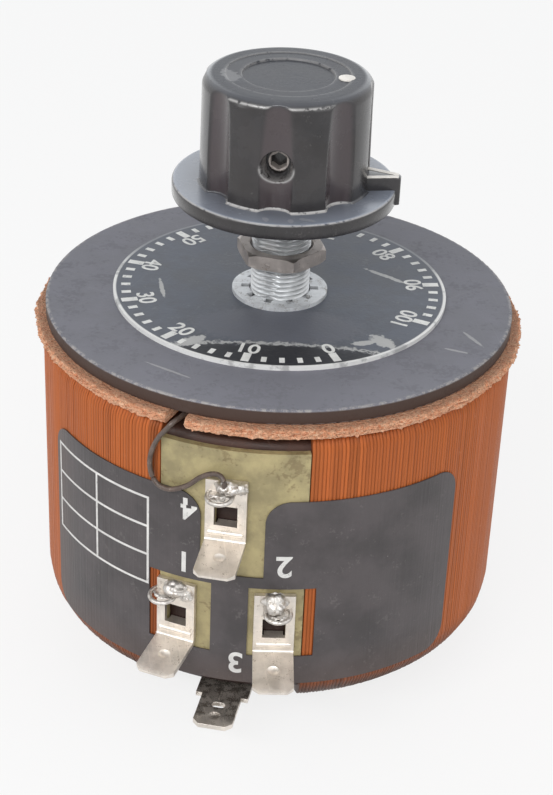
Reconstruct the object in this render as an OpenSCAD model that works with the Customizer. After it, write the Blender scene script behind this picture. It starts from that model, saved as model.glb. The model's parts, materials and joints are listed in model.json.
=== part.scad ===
// Variable autotransformer for panel mounting. A toroidal coil hangs under a round base plate. A shaft
// through its bore turns a carbon brush round the rear face of the winding, set by a fluted knob.
// Millimetres. +Z runs up the shaft, the terminals face -Y, and z = 0 is the plane it stands on.
// Azimuths are degrees from the terminal side (-Y), positive towards +X.

/* [Coil] */
// Outer diameter of the winding
coil_d = 76.2; // [72:0.1:82]
// Height of the winding
coil_h = 51.4; // [48:0.1:58]
// Clear bore through the winding
coil_bore_d = 31; // [30:0.1:33]
// Rounding of the lower outer edge of the winding
coil_low_edge_r = 7.4; // [6:0.1:8.5]
// Rounding of the upper outer edge of the winding
coil_top_edge_r = 3; // [2:0.1:4]
// Rounding of the winding round the bore
coil_bore_edge_r = 4; // [3:0.1:4.5]
// Depth of wire on the outside of the coil
wire_outer = 1.2; // [0.8:0.1:1.5]
// Depth of wire in the bore, where the turns crowd together
wire_inner = 2.4; // [1.8:0.1:2.8]
// Depth of wire on the end faces
wire_end = 1.6; // [1.3:0.1:1.9]
// Wall of the insulating cap on the outside of the core
cap_outer_wall = 1.9; // [1.6:0.1:2.4]
// Wall of the insulating cap in the bore
cap_inner_wall = 1.2; // [0.9:0.1:1.6]
// Wall of the insulating cap on the end faces
cap_end_wall = 2.2; // [1.9:0.1:2.8]
// Chamfer on the edges of the core
core_chamfer = 1.2; // [0.8:0.1:1.8]
// Azimuth where the winding begins, right of the terminals
gap_right = 8.9; // [7:0.1:11]
// Azimuth where the winding ends, left of the terminals
gap_left = -26.1; // [-29:0.1:-24]

/* [Base plate and dial] */
// Diameter of the base plate
plate_d = 75.3; // [70:0.1:78]
// Thickness of the base plate
plate_t = 2.4; // [1.5:0.1:3]
// Thickness of the cork ring
cork_t = 1.8; // [1.5:0.1:3.5]
// How far the cork ring bulges past the coil
cork_proud = 1.4; // [0.6:0.1:1.5]
// Width of the cork ring
cork_w = 8.5; // [6:0.1:11]
// Width of the notch in the cork ring where the lead comes out
cork_notch_w = 3.2; // [2.4:0.1:4]
// Diameter of the dial plate
dial_d = 54; // [48:0.1:58]
// Thickness of the dial plate
dial_t = 0.65; // [0.4:0.05:1]
// How far the loose dial plate has slipped to the rear
dial_slip = 1.3; // [0:0.1:1.6]

/* [Bushing and nut] */
// Outside diameter of the bushing thread
bushing_d = 9.525; // [9:0.005:10]
// Height of the bushing above the base plate
bushing_rise = 14.3; // [12:0.1:16]
// Diameter of the bushing flange under the base plate
bushing_flange_d = 15.4; // [12.8:0.1:17]
// Thickness of the bushing flange
bushing_flange_t = 2.4; // [1.5:0.1:3.5]
// Diameter of the bearing tube below the flange
bushing_tube_d = 12; // [10:0.1:12.4]
// Length of the bearing tube below the flange
bushing_tube_l = 13; // [8:0.5:18]
// Diameter of the lock washer
lock_washer_d = 15.4; // [15.2:0.1:17]
// Thickness of the lock washer
lock_washer_t = 0.65; // [0.5:0.05:1]
// Number of teeth on the lock washer
lock_teeth = 10; // [8:1:12]
// Width of a panel nut across its flats
nut_af = 12.7; // [12:0.1:14.3]
// Thickness of the panel nut
nut_t = 2.4; // [2:0.1:3.2]
// Height of the panel nut above the base plate
nut_lift = 6.85; // [2:0.05:8]
// Azimuth of one corner of the panel nut
nut_turn = 21; // [0:1:60]

/* [Shaft and knob] */
// Diameter of the shaft
shaft_d = 6.35; // [6:0.01:6.5]
// Radial clearance of the shaft in its bearings
shaft_fit = 0.04; // [0.02:0.01:0.08]
// Depth of the flat on the shaft, under the set screw
shaft_flat = 0.4; // [0.2:0.05:0.7]
// Gap between the bushing and the knob
knob_gap = 3.3; // [2:0.1:5]
// Diameter of the knob skirt
skirt_d = 35.3; // [33:0.1:37]
// Thickness of the knob skirt
skirt_t = 2.55; // [2:0.05:3.2]
// Diameter of the knob body above the skirt
knob_low_d = 26.8; // [26.5:0.1:28]
// Diameter of the knob body at its top
knob_top_d = 26.4; // [26:0.1:27]
// Height of the knob from skirt to top
knob_h = 19.85; // [18:0.05:23]
// Rounding of the top edge of the knob
knob_edge_r = 1.7; // [1:0.1:2]
// Number of flutes round the knob
flutes = 8; // [4, 8, 12]
// Width of a flute, the same from the skirt to the top
flute_w = 5.2; // [4.2:0.1:5.6]
// Depth of a flute at the skirt
flute_depth = 1.6; // [0.8:0.1:1.8]
// Depth of a flute at the knob's top
flute_top_depth = 0.55; // [0.3:0.05:1]
// Diameter of the recess in the knob top
recess_d = 14.2; // [11:0.1:14.6]
// Depth of the recess in the knob top
recess_depth = 0.45; // [0.2:0.05:0.6]
// Diameter of the shallow step round the recess
step_d = 19.2; // [18.8:0.1:20.4]
// Depth of the shallow step
step_depth = 0.15; // [0.05:0.05:0.3]
// Height of the knob top above its hollow
knob_roof = 3.9; // [3:0.1:5]
// Inside diameter of the knob wall
knob_hollow_d = 20.4; // [19:0.1:21]
// Diameter of the boss inside the knob
knob_boss_d = 13.6; // [13:0.1:14.5]
// Thickness of the webs inside the knob
knob_web = 1.6; // [1:0.1:2.2]
// Azimuth of the knob pointer as it stands
pointer_azimuth = 84.5; // [0:0.5:180]
// Distance of the pointer tip past the skirt
pointer_proud = 0.6; // [0:0.1:1.2]
// Height of the pointer above the skirt
pointer_rise = 2.1; // [1:0.1:3]
// Width of the pointer where it leaves the knob body
pointer_root_w = 5.2; // [4:0.1:6]
// Width of the pointer tip
pointer_tip_w = 1.8; // [1:0.1:2.5]
// Diameter of the index dot in the knob top
dot_d = 2.5; // [1.5:0.1:3]
// Distance of the index dot from the shaft axis
dot_r = 8.9; // [8.8:0.1:9.4]
// Depth of the index dot
dot_depth = 0.6; // [0.5:0.05:1]
// Diameter of the brass insert in the knob
insert_d = 10; // [9:0.1:10.5]
// Diameter of the set screw
set_screw_d = 3.6; // [2.8:0.1:4]
// Height of the set screw above the skirt
set_screw_up = 8.4; // [7:0.1:9.5]
// Width of the hex socket of the set screw
set_socket_af = 2.4; // [1.2:0.1:2.4]
// Diameter of the recess round the set screw hole
set_recess_d = 4.9; // [4.4:0.1:5.8]
// Outside diameter of the retaining ring
ring_clip_d = 11; // [9:0.1:12]
// Thickness of the retaining ring
ring_clip_t = 0.8; // [0.6:0.05:1.2]

/* [Terminals and board] */
// Width of a terminal tab
tab_w = 6.35; // [6:0.05:6.6]
// Thickness of the terminal strip
tab_t = 0.8; // [0.7:0.05:1]
// Length of a terminal tab past its bend
tab_l = 7.9; // [7:0.1:9]
// Length of a terminal leg above its bend
leg_l = 10.6; // [10:0.1:11.4]
// Inside radius of the terminal bend
bend_r = 0.5; // [0.3:0.1:0.8]
// Chamfer on the corners of a tab
tab_chamfer = 1; // [0.5:0.1:1.4]
// Height of the window's foot above the bend
window_up = 2.7; // [2.4:0.1:3.2]
// Height of the window in a terminal leg
window_h = 3.5; // [3:0.1:4]
// Width of the window in a terminal leg
window_w = 3.6; // [3.3:0.1:4]
// Width of the lanced tongue that holds a terminal in the board
tongue_w = 3; // [2.4:0.1:3.2]
// Azimuth of terminal 1, low on the left
term_1_azimuth = -21.2; // [-22:0.1:-20.6]
// Azimuth of terminal 2, low on the right
term_2_azimuth = 2; // [1:0.1:2.6]
// Azimuth of terminal 3, at the foot of the coil
term_3_azimuth = -10.2; // [-12:0.1:-9]
// Azimuth of terminal 4, at the top
term_4_azimuth = -9.8; // [-11:0.1:-8]
// Height of the bend of terminals 1 and 2 above the coil's lower end
low_bend_up = 12.9; // [12:0.1:14]
// Distance of the bend of terminal 4 below the base plate's top
top_bend_down = 22.7; // [21.5:0.1:23.5]
// Droop of tab 1, in degrees
droop_1 = 7; // [0:1:14]
// Droop of tab 2, in degrees
droop_2 = 10; // [0:1:14]
// Droop of tab 4, in degrees
droop_4 = 5; // [0:1:14]
// Thickness of the terminal board
board_t = 1.05; // [0.8:0.05:1.1]
// Distance of the board's top edge below the base plate's top
board_down = 7.2; // [6:0.1:8]
// Height of the board's foot above the coil's lower end
board_up = 9.6; // [8:0.1:11]
// Radius of a solder dome
solder_r = 2.9; // [2.5:0.1:3]
// Height of a solder dome
solder_h = 1.6; // [1:0.1:2]
// Diameter of the lead wire
lead_d = 0.8; // [0.6:0.1:1.2]

/* [Label] */
// Thickness of the label
label_t = 0.2; // [0.1:0.05:0.3]
// Azimuth of the label's left edge
label_left = -63.5; // [-80:0.5:-50]
// Azimuth of the label's right edge
label_right = 48.3; // [40:0.5:60]
// Distance of the label's top edge below the base plate's top
label_down = 15.4; // [15:0.1:17]
// Height of the label's foot above the coil's lower end
label_up = 6.2; // [5:0.1:8]
// Corner radius of the label
label_corner_r = 4; // [2:0.5:5]
// Azimuth of the left side of the label's notch round terminal 4
notch_left = -15.8; // [-17:0.1:-15.4]
// Azimuth of the right side of the label's notch round terminal 4
notch_right = -0.9; // [-2:0.1:0]
// Height of the strip of label between the windows and the notch's foot
notch_strip = 1.9; // [1:0.1:3]
// Width of the label windows round terminals 1 and 2
label_window_w = 10.4; // [10:0.1:11]
// Height of the label windows
label_window_h = 12.9; // [12.6:0.1:13.4]
// Azimuth of the middle of the label window round terminal 1
label_window_1 = -20.7; // [-21:0.1:-20.4]
// Azimuth of the middle of the label window round terminal 2
label_window_2 = 3.6; // [3:0.1:4]

/* [Rear clamp and screws] */
// Thickness of the clamp flange
clamp_t = 1.5; // [1.2:0.1:2.5]
// How far the clamp flange laps the flat end of the winding
clamp_lap = 1.1; // [0.6:0.1:1.3]
// Height of the clamp spigot in the bore
spigot_h = 8; // [6:0.5:12]
// Clearance of the clamp spigot in the bore
spigot_fit = 0.3; // [0.1:0.05:0.5]
// Outside diameter of the rear bearing
bearing_d = 10; // [9:0.1:11]
// Diameter of the clamp screws
screw_d = 2.84; // [2.5:0.01:3.2]
// Distance of the clamp screws from the shaft axis
screw_r = 11; // [10.6:0.1:11.2]
// Number of clamp screws
screws = 3; // [3:1:4]
// Diameter of the clamp screw heads
screw_head_d = 5.6; // [5:0.1:6]
// Depth of the clamp screw heads
screw_head_h = 1.4; // [1.2:0.05:1.5]
// Clearance of a clamp screw in its holes
screw_fit = 0.15; // [0.1:0.05:0.25]
// Width of a clamp nut across its flats
clamp_nut_af = 6.35; // [5.5:0.05:6.5]
// Thickness of a clamp nut
clamp_nut_t = 2.4; // [2:0.1:3]

/* [Brush gear] */
// Angle of turn between the two stops
travel = 315; // [300:1:318]
// Angle by which the knob stands back from the full stop
stand_back = 18.7; // [0:0.1:60]
// Middle radius of the brush track
track_r = 24; // [23.6:0.1:26]
// Width of the brush, along and across the track
brush_w = 4; // [3:0.1:4.2]
// Length of the brush
brush_l = 3.5; // [3:0.1:4]
// Running gap between the brush and the winding
brush_gap = 0.05; // [0.05:0.01:0.1]
// Side clearance of the brush in its holder
brush_fit = 0.1; // [0.05:0.01:0.15]
// Wall of the brush holder
holder_wall = 0.5; // [0.4:0.05:0.7]
// Height of the open brush spring
spring_l = 1.8; // [1.6:0.1:2]
// Diameter of the spring wire
spring_wire = 0.3; // [0.2:0.02:0.4]
// Number of turns of the spring
spring_turns = 4; // [3:1:4]
// Thickness of the hub flange
hub_t = 2.2; // [2:0.1:3]
// Diameter of the hub flange
hub_d = 24; // [22:0.1:26]
// Diameter of the hub neck that passes through the arm
hub_neck_d = 11.8; // [11:0.1:12.4]
// Floor of the hub below the shaft's end
hub_floor = 0.8; // [0.6:0.1:1.2]
// Thickness of the brush arm
arm_t = 1.2; // [1:0.1:1.6]
// Reach of the brush arm past the holder
arm_lap = 1.4; // [1:0.1:2]
// Room for the contact washer between arm and collector ring
contact_room = 0.7; // [0.6:0.05:1]
// Thickness of the contact washer
contact_t = 0.3; // [0.2:0.05:0.35]
// Outside diameter of the collector ring
collector_d = 18; // [17:0.1:19]
// Diameter of the stop post
stop_d = 3.6; // [3:0.1:4]
// Distance of the stop post from the shaft axis
stop_r = 16; // [15.5:0.1:16.4]
// Gap between the arm and the stop post at the end of travel
stop_gap = 0.3; // [0.2:0.05:0.5]
// Distance of the arm rivets from the shaft axis
rivet_r = 10.2; // [9.8:0.1:10.4]
// Diameter of the arm rivets
rivet_d = 2; // [1.5:0.1:2.2]

/* [Hidden] */
$fn = 96;

// Small overshoot of a cutter past the face that it cuts
cut = 0.5;
// Gap between rigid pieces that lie against each other on curved faces
seat = 0.05;
// Gap round pieces that are pressed or glued on the shaft
press = 0.025;
// Gaps of the dial plate and the lock washer round the bushing
dial_fit = 0.15;
lock_washer_fit = 0.2;
// Gaps of the set screw in the knob, the board beside the wire and the strap round the stop post
set_screw_fit = 0.1;
board_side_gap = 0.15;
stop_fit = 0.1;
// Broken edges of the base plate, in its bore and round its rim
plate_bore_r = 0.1;
plate_edge_r = 0.3;

// Heights up the shaft, from the plane it stands on
z_arm = hub_t;
z_arm_top = z_arm + arm_t;
z_collector = z_arm_top + contact_room;
z_clamp = z_collector + tab_t;
z_coil = z_clamp + clamp_t;
z_coil_top = z_coil + coil_h;
z_plate = z_coil_top + cork_t;
z_top = z_plate + plate_t;
z_dial = z_top + dial_t;
z_bushing_top = z_top + bushing_rise;
z_skirt = z_bushing_top + knob_gap;
z_skirt_top = z_skirt + skirt_t;
z_knob_top = z_skirt + knob_h;
z_set_screw = z_skirt_top + set_screw_up;
z_mid = (z_coil + z_coil_top) / 2;

// Radii of the coil, from the outside in
r_coil = coil_d / 2;
r_cap = r_coil - wire_outer;
r_core = r_cap - cap_outer_wall;
r_bore = coil_bore_d / 2;
r_cap_bore = r_bore + wire_inner;
r_core_bore = r_cap_bore + cap_inner_wall;
z_cap = z_coil + wire_end;
z_cap_top = z_coil_top - wire_end;
r_board = r_cap + seat;
r_board_face = r_board + board_t;
r_clamp = r_bore + coil_bore_edge_r + clamp_lap;

// Roundings of the caps, which follow those of the winding over them
cap_low_edge_r = coil_low_edge_r - (wire_outer + wire_end) / 2;
cap_top_edge_r = coil_top_edge_r - wire_outer / 2 - wire_end / 4;
cap_bore_edge_r = coil_bore_edge_r - (wire_inner + wire_end) / 2;

// Shaft and knob
r_shaft = shaft_d / 2;
r_bearing = r_shaft + shaft_fit;
r_bushing = bushing_d / 2;
groove_depth = 0.6;
groove_side = 0.05;
shaft_in_knob = 14.9;
knob_top_play = 0.4;
dot_seat = 0.02;
rim_round = 0.5;
clip_grip = 0.5;
pointer_root_in = 0.6;
flute_under = 1;
set_recess_depth = 2.2;
set_screw_sunk = 0.2;
socket_depth = 2.4;
set_boss_wall = 0.6;
nut_face_in = 0.2;
nut_chamfer_angle = 30;

// Terminals
r_leg = r_board_face + seat;
r_leg_face = r_leg + tab_t;
z_low_bend = z_coil + low_bend_up;
z_top_bend = z_top - top_bend_down;
tongue_fit = 0.1;
end_bevel = 0.22;
end_bevel_l = 0.9;
ridge_r = 0.5;
ridge_proud = 0.28;
ridge_up = 1.3;
ridge_in = 0.5;
inner_steps = 4;
outer_steps = 6;
dimple_r = 1.5;
dimple_depth = 0.35;
dimple_share = 0.45;
solder_lap = 0.7;
solder_up = leg_l - solder_r + solder_lap;
strap_lift = 0.05;
z_strap = z_cap - strap_lift - tab_t;
strap_step_gap = 0.4;
r_step = r_clamp + strap_step_gap;
tab_3_reach = 6;
shoulder_w = 8.5;
shoulder_l = 6;
shoulder_in = 1.5;
slot_r = 0.6;
slot_l = 2.2;
slot_in = 0.9;

// Label
label_window_foot = 1.4;
label_cut = 1;
corner_steps = 10;

// Brush gear: the gap's middle, the arm's azimuth as it stands, and the arm's width between the stops
gap_mid = (gap_left + gap_right) / 2;
stop_half = (360 - travel) / 2;
arm_azimuth = gap_mid + stop_half + stand_back;
arm_w = 2 * (stop_r * sin(stop_half) - stop_d / 2 - stop_gap);
stop_depth = 3;
z_brush_top = z_coil - brush_gap;
z_brush = z_brush_top - brush_l;
z_spring = z_brush - spring_l;
holder_in = brush_w + 2 * brush_fit;
holder_out = holder_in + 2 * holder_wall;
holder_below_track = 0.7;
holder_lip = 0.5;
holder_lip_t = 0.4;
holder_fit = 0.05;
spring_in = 0.5;
r_spring = brush_w / 2 - spring_in;
r_neck = hub_neck_d / 2;
neck_top_gap = 0.1;
neck_fit = 0.1;
collector_fit = 0.3;
contact_play = 0.05;
washer_play = 0.05;
washer_d = 10.6;
rivet_head_d = 3;
rivet_head_t = 0.45;
hub_chamfer = 0.4;

// Route of the lead, as azimuth, distance outside the coil and distance below the base plate's top
lead_azimuth = -21.8;
lead_route = [[-20.6, -4.1, 3.3], [-21.2, -0.7, 3.2], [-22, 1.4, 3.4], [-23.4, 1.8, 4.7],
              [-25.6, 1.1, 6.8], [-27.3, 0.8, 9.2], [-28, 0.8, 11.6], [-27.4, 0.8, 13.9],
              [-25.5, 0.9, 15.2], [-22.6, 0.9, 15.3], [-18.8, 0.8, 14], [-15.9, 0.7, 12.2],
              [-13.2, 0.8, 11.1], [-11, 1.3, 10.9], [-9.9, 1.9, 11.8], [-9.8, 1.9, 13.2]];
lead_steps = 3;
lead_sides = 8;

// Turn a piece built with +X outwards to an azimuth
module facing(azimuth) {
    rotate([0, 0, azimuth - 90]) children();
}

// Revolve an outline between two azimuths
module revolve_between(from, to) {
    facing(from) rotate_extrude(angle = to - from) children();
}

// A round bar between two heights
module bar(r, low, high) {
    translate([0, 0, low]) cylinder(r = r, h = high - low);
}

// A round ring between two heights
module ring(r_in, r_out, low, high) {
    difference() {
        bar(r_out, low, high);
        bar(r_in, low - cut, high + cut);
    }
}

// The waste outside a round corner that lies at the origin and opens towards +x and +y
module corner_waste(r) {
    if (r > 0) difference() {
        translate([-cut, -cut]) square(r + cut);
        translate([r, r]) circle(r);
    }
}

// Rectangle with its four corners rounded: lower left, lower right, upper right, upper left
module round_box(low, high, r) {
    difference() {
        translate(low) square(high - low);
        translate(low) corner_waste(r[0]);
        translate([high[0], low[1]]) mirror([1, 0]) corner_waste(r[1]);
        translate(high) rotate(180) corner_waste(r[2]);
        translate([low[0], high[1]]) mirror([0, 1]) corner_waste(r[3]);
    }
}

// Points of an arc, from one angle to another
function arc(centre, r, from, to, steps) = [
    for (i = [0:steps])
        let (angle = from + (to - from) * i / steps) centre + r * [cos(angle), sin(angle)]];

// Section of the coil: wire, cap and core
module wire_outline() {
    round_box([r_bore, z_coil], [r_coil, z_coil_top],
              [coil_bore_edge_r, coil_low_edge_r, coil_top_edge_r, coil_bore_edge_r]);
}

module cap_outline() {
    round_box([r_cap_bore, z_cap], [r_cap, z_cap_top],
              [cap_bore_edge_r, cap_low_edge_r, cap_top_edge_r, cap_bore_edge_r]);
}

module core_outline() {
    low = [r_core_bore, z_cap + cap_end_wall];
    high = [r_core, z_cap_top - cap_end_wall];
    c = core_chamfer;
    polygon([[low[0] + c, low[1]], [high[0] - c, low[1]], [high[0], low[1] + c], [high[0], high[1] - c],
             [high[0] - c, high[1]], [low[0] + c, high[1]], [low[0], high[1] - c], [low[0], low[1] + c]]);
}

// Half of the core's insulation, an open channel on one side of the coil's middle
module cap_half(low, high) {
    rotate_extrude() difference() {
        intersection() {
            cap_outline();
            translate([0, low]) square([r_coil, high - low]);
        }
        core_outline();
    }
}

module core() {
    color("dimgray") rotate_extrude() core_outline();
}

module core_cap_upper() {
    color("#2b2524") cap_half(z_mid, z_coil_top);
}

module core_cap_lower() {
    color("#2b2524") cap_half(z_coil, z_mid);
}

// The turns of wire, taken together as one C-shaped coil that is open at the terminals
module winding() {
    color("#b8672f") revolve_between(gap_right, gap_left + 360) difference() {
        wire_outline();
        cap_outline();
    }
}

module cork_ring() {
    r_round = cork_t / 2;
    r_out = r_coil + cork_proud;
    color("#d99a66") difference() {
        rotate_extrude() {
            translate([r_out - cork_w, z_coil_top]) square([cork_w - r_round, cork_t]);
            translate([r_out - r_round, z_coil_top + r_round]) circle(r_round);
        }
        facing(lead_azimuth) translate([r_out - cork_w - cut, -cork_notch_w / 2, z_coil_top - cut])
            cube([cork_w + 2 * cut, cork_notch_w, cork_t + 2 * cut]);
    }
}

// Places of the clamp screws round the shaft, clear of the strap of terminal 3
module at_screws() {
    for (i = [0:screws - 1])
        facing(gap_mid + (i + 0.5) * 360 / screws) translate([screw_r, 0, 0]) children();
}

module base_plate() {
    color("#3a3a3c") difference() {
        rotate_extrude() round_box([r_bushing + seat, z_plate], [plate_d / 2, z_top],
                                  [plate_bore_r, plate_edge_r, plate_edge_r, plate_bore_r]);
        at_screws() {
            bar(screw_d / 2 + screw_fit, z_plate - cut, z_top + cut);
            screw_head(screw_fit);
        }
    }
}

// Countersunk head, with some room round it for its seat
module screw_head(room) {
    translate([0, 0, z_top - screw_head_h])
        cylinder(r1 = screw_d / 2 + room, r2 = screw_head_d / 2 + room, h = screw_head_h);
    bar(screw_head_d / 2 + room, z_top - seat, z_top + (room > 0 ? cut : 0));
}

module clamp_screws() {
    drive_w = 0.9;
    drive_depth = 0.7;
    color("silver") at_screws() difference() {
        union() {
            bar(screw_d / 2, z_clamp + seat, z_top - seat);
            screw_head(0);
        }
        translate([-screw_head_d, -drive_w / 2, z_top - drive_depth])
            cube([2 * screw_head_d, drive_w, drive_depth + cut]);
    }
}

module clamp_nuts() {
    color("silver") at_screws() difference() {
        rotate(30) translate([0, 0, z_clamp + seat])
            cylinder(r = clamp_nut_af / sqrt(3), h = clamp_nut_t, $fn = 6);
        bar(screw_d / 2 + seat, z_clamp - cut, z_clamp + clamp_nut_t + cut);
    }
}

module dial_plate() {
    color("#35353a") translate([0, dial_slip, 0])
        ring(r_bushing + dial_slip + dial_fit, dial_d / 2, z_top, z_dial);
}

// Threaded bushing with its flange under the base plate and its bearing tube in the bore
module panel_bushing() {
    thread_chamfer = 0.6;
    z_flange = z_plate - bushing_flange_t;
    color("lightgray") difference() {
        union() {
            bar(bushing_tube_d / 2, z_flange - bushing_tube_l, z_flange);
            bar(bushing_flange_d / 2, z_flange, z_plate);
            bar(r_bushing, z_plate, z_bushing_top - thread_chamfer);
            translate([0, 0, z_bushing_top - thread_chamfer])
                cylinder(r1 = r_bushing, r2 = r_bushing - thread_chamfer, h = thread_chamfer);
        }
        bar(r_bearing, z_flange - bushing_tube_l - cut, z_bushing_top + cut);
    }
}

module lock_washer() {
    tooth_gap_w = 1.2;
    rim_w = 1.5;
    r_in = r_bushing + lock_washer_fit;
    color("silver") difference() {
        ring(r_in, lock_washer_d / 2, z_dial, z_dial + lock_washer_t);
        for (i = [0:lock_teeth - 1])
            rotate(i * 360 / lock_teeth) translate([r_in - cut, -tooth_gap_w / 2, z_dial - cut])
                cube([lock_washer_d / 2 - rim_w - r_in + cut, tooth_gap_w, lock_washer_t + 2 * cut]);
    }
}

// Hex nut with both faces chamfered to a circle
module panel_nut() {
    r_corner = nut_af / sqrt(3);
    r_face = nut_af / 2 - nut_face_in;
    spread = nut_t / tan(nut_chamfer_angle);
    z_nut = z_top + nut_lift;
    color("#9a8878") difference() {
        intersection() {
            facing(nut_turn) translate([0, 0, z_nut]) cylinder(r = r_corner, h = nut_t, $fn = 6);
            translate([0, 0, z_nut]) cylinder(r1 = r_face, r2 = r_face + spread, h = nut_t);
            translate([0, 0, z_nut]) cylinder(r1 = r_face + spread, r2 = r_face, h = nut_t);
        }
        bar(r_bushing + seat, z_nut - cut, z_nut + nut_t + cut);
    }
}

// A bar along +X at a height, from one distance to another
module spoke(r, from, to, z) {
    translate([from, 0, z]) rotate([0, 90, 0]) cylinder(r = r, h = to - from);
}

// Shaft with a flat for the set screw, a groove for the retaining ring and a chamfered top
module shaft() {
    z_groove = z_bushing_top + seat;
    z_end = z_skirt + shaft_in_knob;
    chamfer = 0.5;
    color("silver") difference() {
        union() {
            bar(r_shaft, hub_floor + seat, z_end - chamfer);
            translate([0, 0, z_end - chamfer]) cylinder(r1 = r_shaft, r2 = r_shaft - chamfer, h = chamfer);
        }
        ring(r_shaft - groove_depth, r_shaft + cut, z_groove, z_groove + ring_clip_t + 2 * groove_side);
        facing(pointer_azimuth - 90) translate([r_shaft - shaft_flat, -r_shaft, z_skirt])
            cube([shaft_d, shaft_d, knob_h]);
    }
}

// Snap ring in the groove of the shaft, open on one side
module retaining_ring() {
    mouth_w = 2 * (r_shaft - groove_depth - clip_grip);
    z_ring = z_bushing_top + seat + groove_side;
    color("darkgray") difference() {
        ring(r_shaft - groove_depth + groove_side, ring_clip_d / 2, z_ring, z_ring + ring_clip_t);
        translate([0, -mouth_w / 2, z_ring - cut]) cube([ring_clip_d, mouth_w, ring_clip_t + 2 * cut]);
    }
}

// Outside of the knob: skirt, tapered body and a top with a round recess and ridges
module knob_outline() {
    r_low = knob_low_d / 2;
    r_top = knob_top_d / 2;
    difference() {
        union() {
            round_box([0, z_skirt], [skirt_d / 2, z_skirt_top], [0, rim_round, rim_round, 0]);
            polygon([[0, z_skirt], [r_low, z_skirt_top - cut], [r_low, z_skirt_top],
                     [r_top, z_knob_top - knob_edge_r], [r_top - knob_edge_r, z_knob_top - knob_edge_r],
                     [r_top - knob_edge_r, z_knob_top], [0, z_knob_top]]);
            translate([r_top - knob_edge_r, z_knob_top - knob_edge_r]) circle(knob_edge_r);
        }
        translate([0, z_knob_top - recess_depth]) square([recess_d / 2, knob_h]);
        translate([0, z_knob_top - step_depth]) square([step_d / 2, knob_h]);
        translate([-knob_h, z_skirt - knob_h]) square([knob_h, 3 * knob_h]);
    }
}

// Radius of a flute's floor at a height
function flute_floor(z) =
    let (low = knob_low_d / 2 - flute_depth, high = knob_top_d / 2 - flute_top_depth)
    low + (high - low) * (z - z_skirt_top) / (z_knob_top - z_skirt_top);

// Radius of the round cutter that is flute_w wide where it has sunk to a depth
function flute_round(depth) = (flute_w * flute_w / 4 + depth * depth) / (2 * depth);

// One flute: a cone that widens and leans outwards as it rises, so that the flute keeps its width while it
// grows shallower, and runs out through the top edge
module flute() {
    low = flute_floor(z_skirt_top);
    rise = z_knob_top - z_skirt_top;
    r_low = flute_round(flute_depth);
    spread = (flute_round(flute_top_depth) - r_low) / rise;
    floor_lean = atan((flute_floor(z_knob_top) - low) / rise);
    difference() {
        translate([low, 0, z_skirt_top]) rotate([0, floor_lean + atan(spread), 0])
            translate([r_low, 0, -flute_under])
                cylinder(r1 = r_low - spread * flute_under, r2 = r_low + spread * knob_h,
                         h = knob_h + flute_under);
        bar(skirt_d, z_skirt_top - skirt_d, z_skirt_top);
    }
}

// Pointer nib: a wedge across the skirt that narrows to a blunt tip
module pointer() {
    r_root = knob_low_d / 2 - flute_depth - pointer_root_in;
    r_tip = skirt_d / 2 + pointer_proud;
    translate([0, 0, z_skirt]) linear_extrude(skirt_t + pointer_rise)
        polygon([[r_root, -pointer_root_w / 2], [r_tip, -pointer_tip_w / 2],
                 [r_tip, pointer_tip_w / 2], [r_root, pointer_root_w / 2]]);
}

// Hollow of the knob between its wall and its boss, crossed by webs and by the set screw's own boss
module knob_hollow() {
    webs = 4;
    screw_boss = set_recess_d / 2 + set_boss_wall;
    difference() {
        ring(knob_boss_d / 2, knob_hollow_d / 2, z_skirt - cut, z_knob_top - knob_roof);
        for (i = [0:webs - 1])
            rotate(45 + i * 360 / webs) translate([0, -knob_web / 2, z_skirt])
                cube([skirt_d, knob_web, knob_h]);
        rotate(-90) spoke(screw_boss, 0, skirt_d, z_set_screw);
    }
}

module knob() {
    color("#1d1b1c") facing(pointer_azimuth) difference() {
        union() {
            difference() {
                rotate_extrude() knob_outline();
                for (i = [0:flutes - 1]) rotate(i * 360 / flutes) flute();
            }
            pointer();
        }
        knob_hollow();
        bar(insert_d / 2, z_skirt - cut, z_skirt + shaft_in_knob + knob_top_play);
        translate([dot_r, 0, 0]) bar(dot_d / 2, z_knob_top - dot_depth, z_knob_top + cut);
        rotate(-90) spoke(set_screw_d / 2 + set_screw_fit, 0, skirt_d, z_set_screw);
        rotate(-90) spoke(set_recess_d / 2, flute_floor(z_set_screw) - set_recess_depth, skirt_d, z_set_screw);
    }
}

module knob_insert() {
    color("#b59a4a") difference() {
        bar(insert_d / 2 - dot_seat, z_skirt + seat, z_skirt + shaft_in_knob + knob_top_play - seat);
        bar(r_shaft + press, z_skirt - cut, z_skirt + shaft_in_knob + seat);
        facing(pointer_azimuth - 90) spoke(set_screw_d / 2 + press, 0, insert_d, z_set_screw);
    }
}

module knob_set_screw() {
    r_tip = r_shaft - shaft_flat + seat;
    r_end = flute_floor(z_set_screw) - set_recess_depth - set_screw_sunk;
    color("gray") facing(pointer_azimuth - 90) difference() {
        spoke(set_screw_d / 2, r_tip, r_end, z_set_screw);
        translate([r_end - socket_depth, 0, z_set_screw]) rotate([0, 90, 0])
            cylinder(r = set_socket_af / sqrt(3), h = socket_depth + cut, $fn = 6);
    }
}

module index_dot() {
    color("ivory") facing(pointer_azimuth) translate([dot_r, 0, 0])
        bar(dot_d / 2 - dot_seat, z_knob_top - dot_depth, z_knob_top);
}

// Olive fibre sheet, curved to lie in the winding's gap, open behind the terminals' windows
module terminal_board() {
    side = board_side_gap / r_board * 180 / PI;
    z_foot = z_coil + board_up;
    color("#a39b6b") difference() {
        revolve_between(gap_left + side, gap_right - side)
            translate([r_board, z_foot]) square([board_t, z_top - board_down - z_foot]);
        board_slot(term_1_azimuth, z_low_bend);
        board_slot(term_2_azimuth, z_low_bend);
        board_slot(term_4_azimuth, z_top_bend);
    }
}

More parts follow.
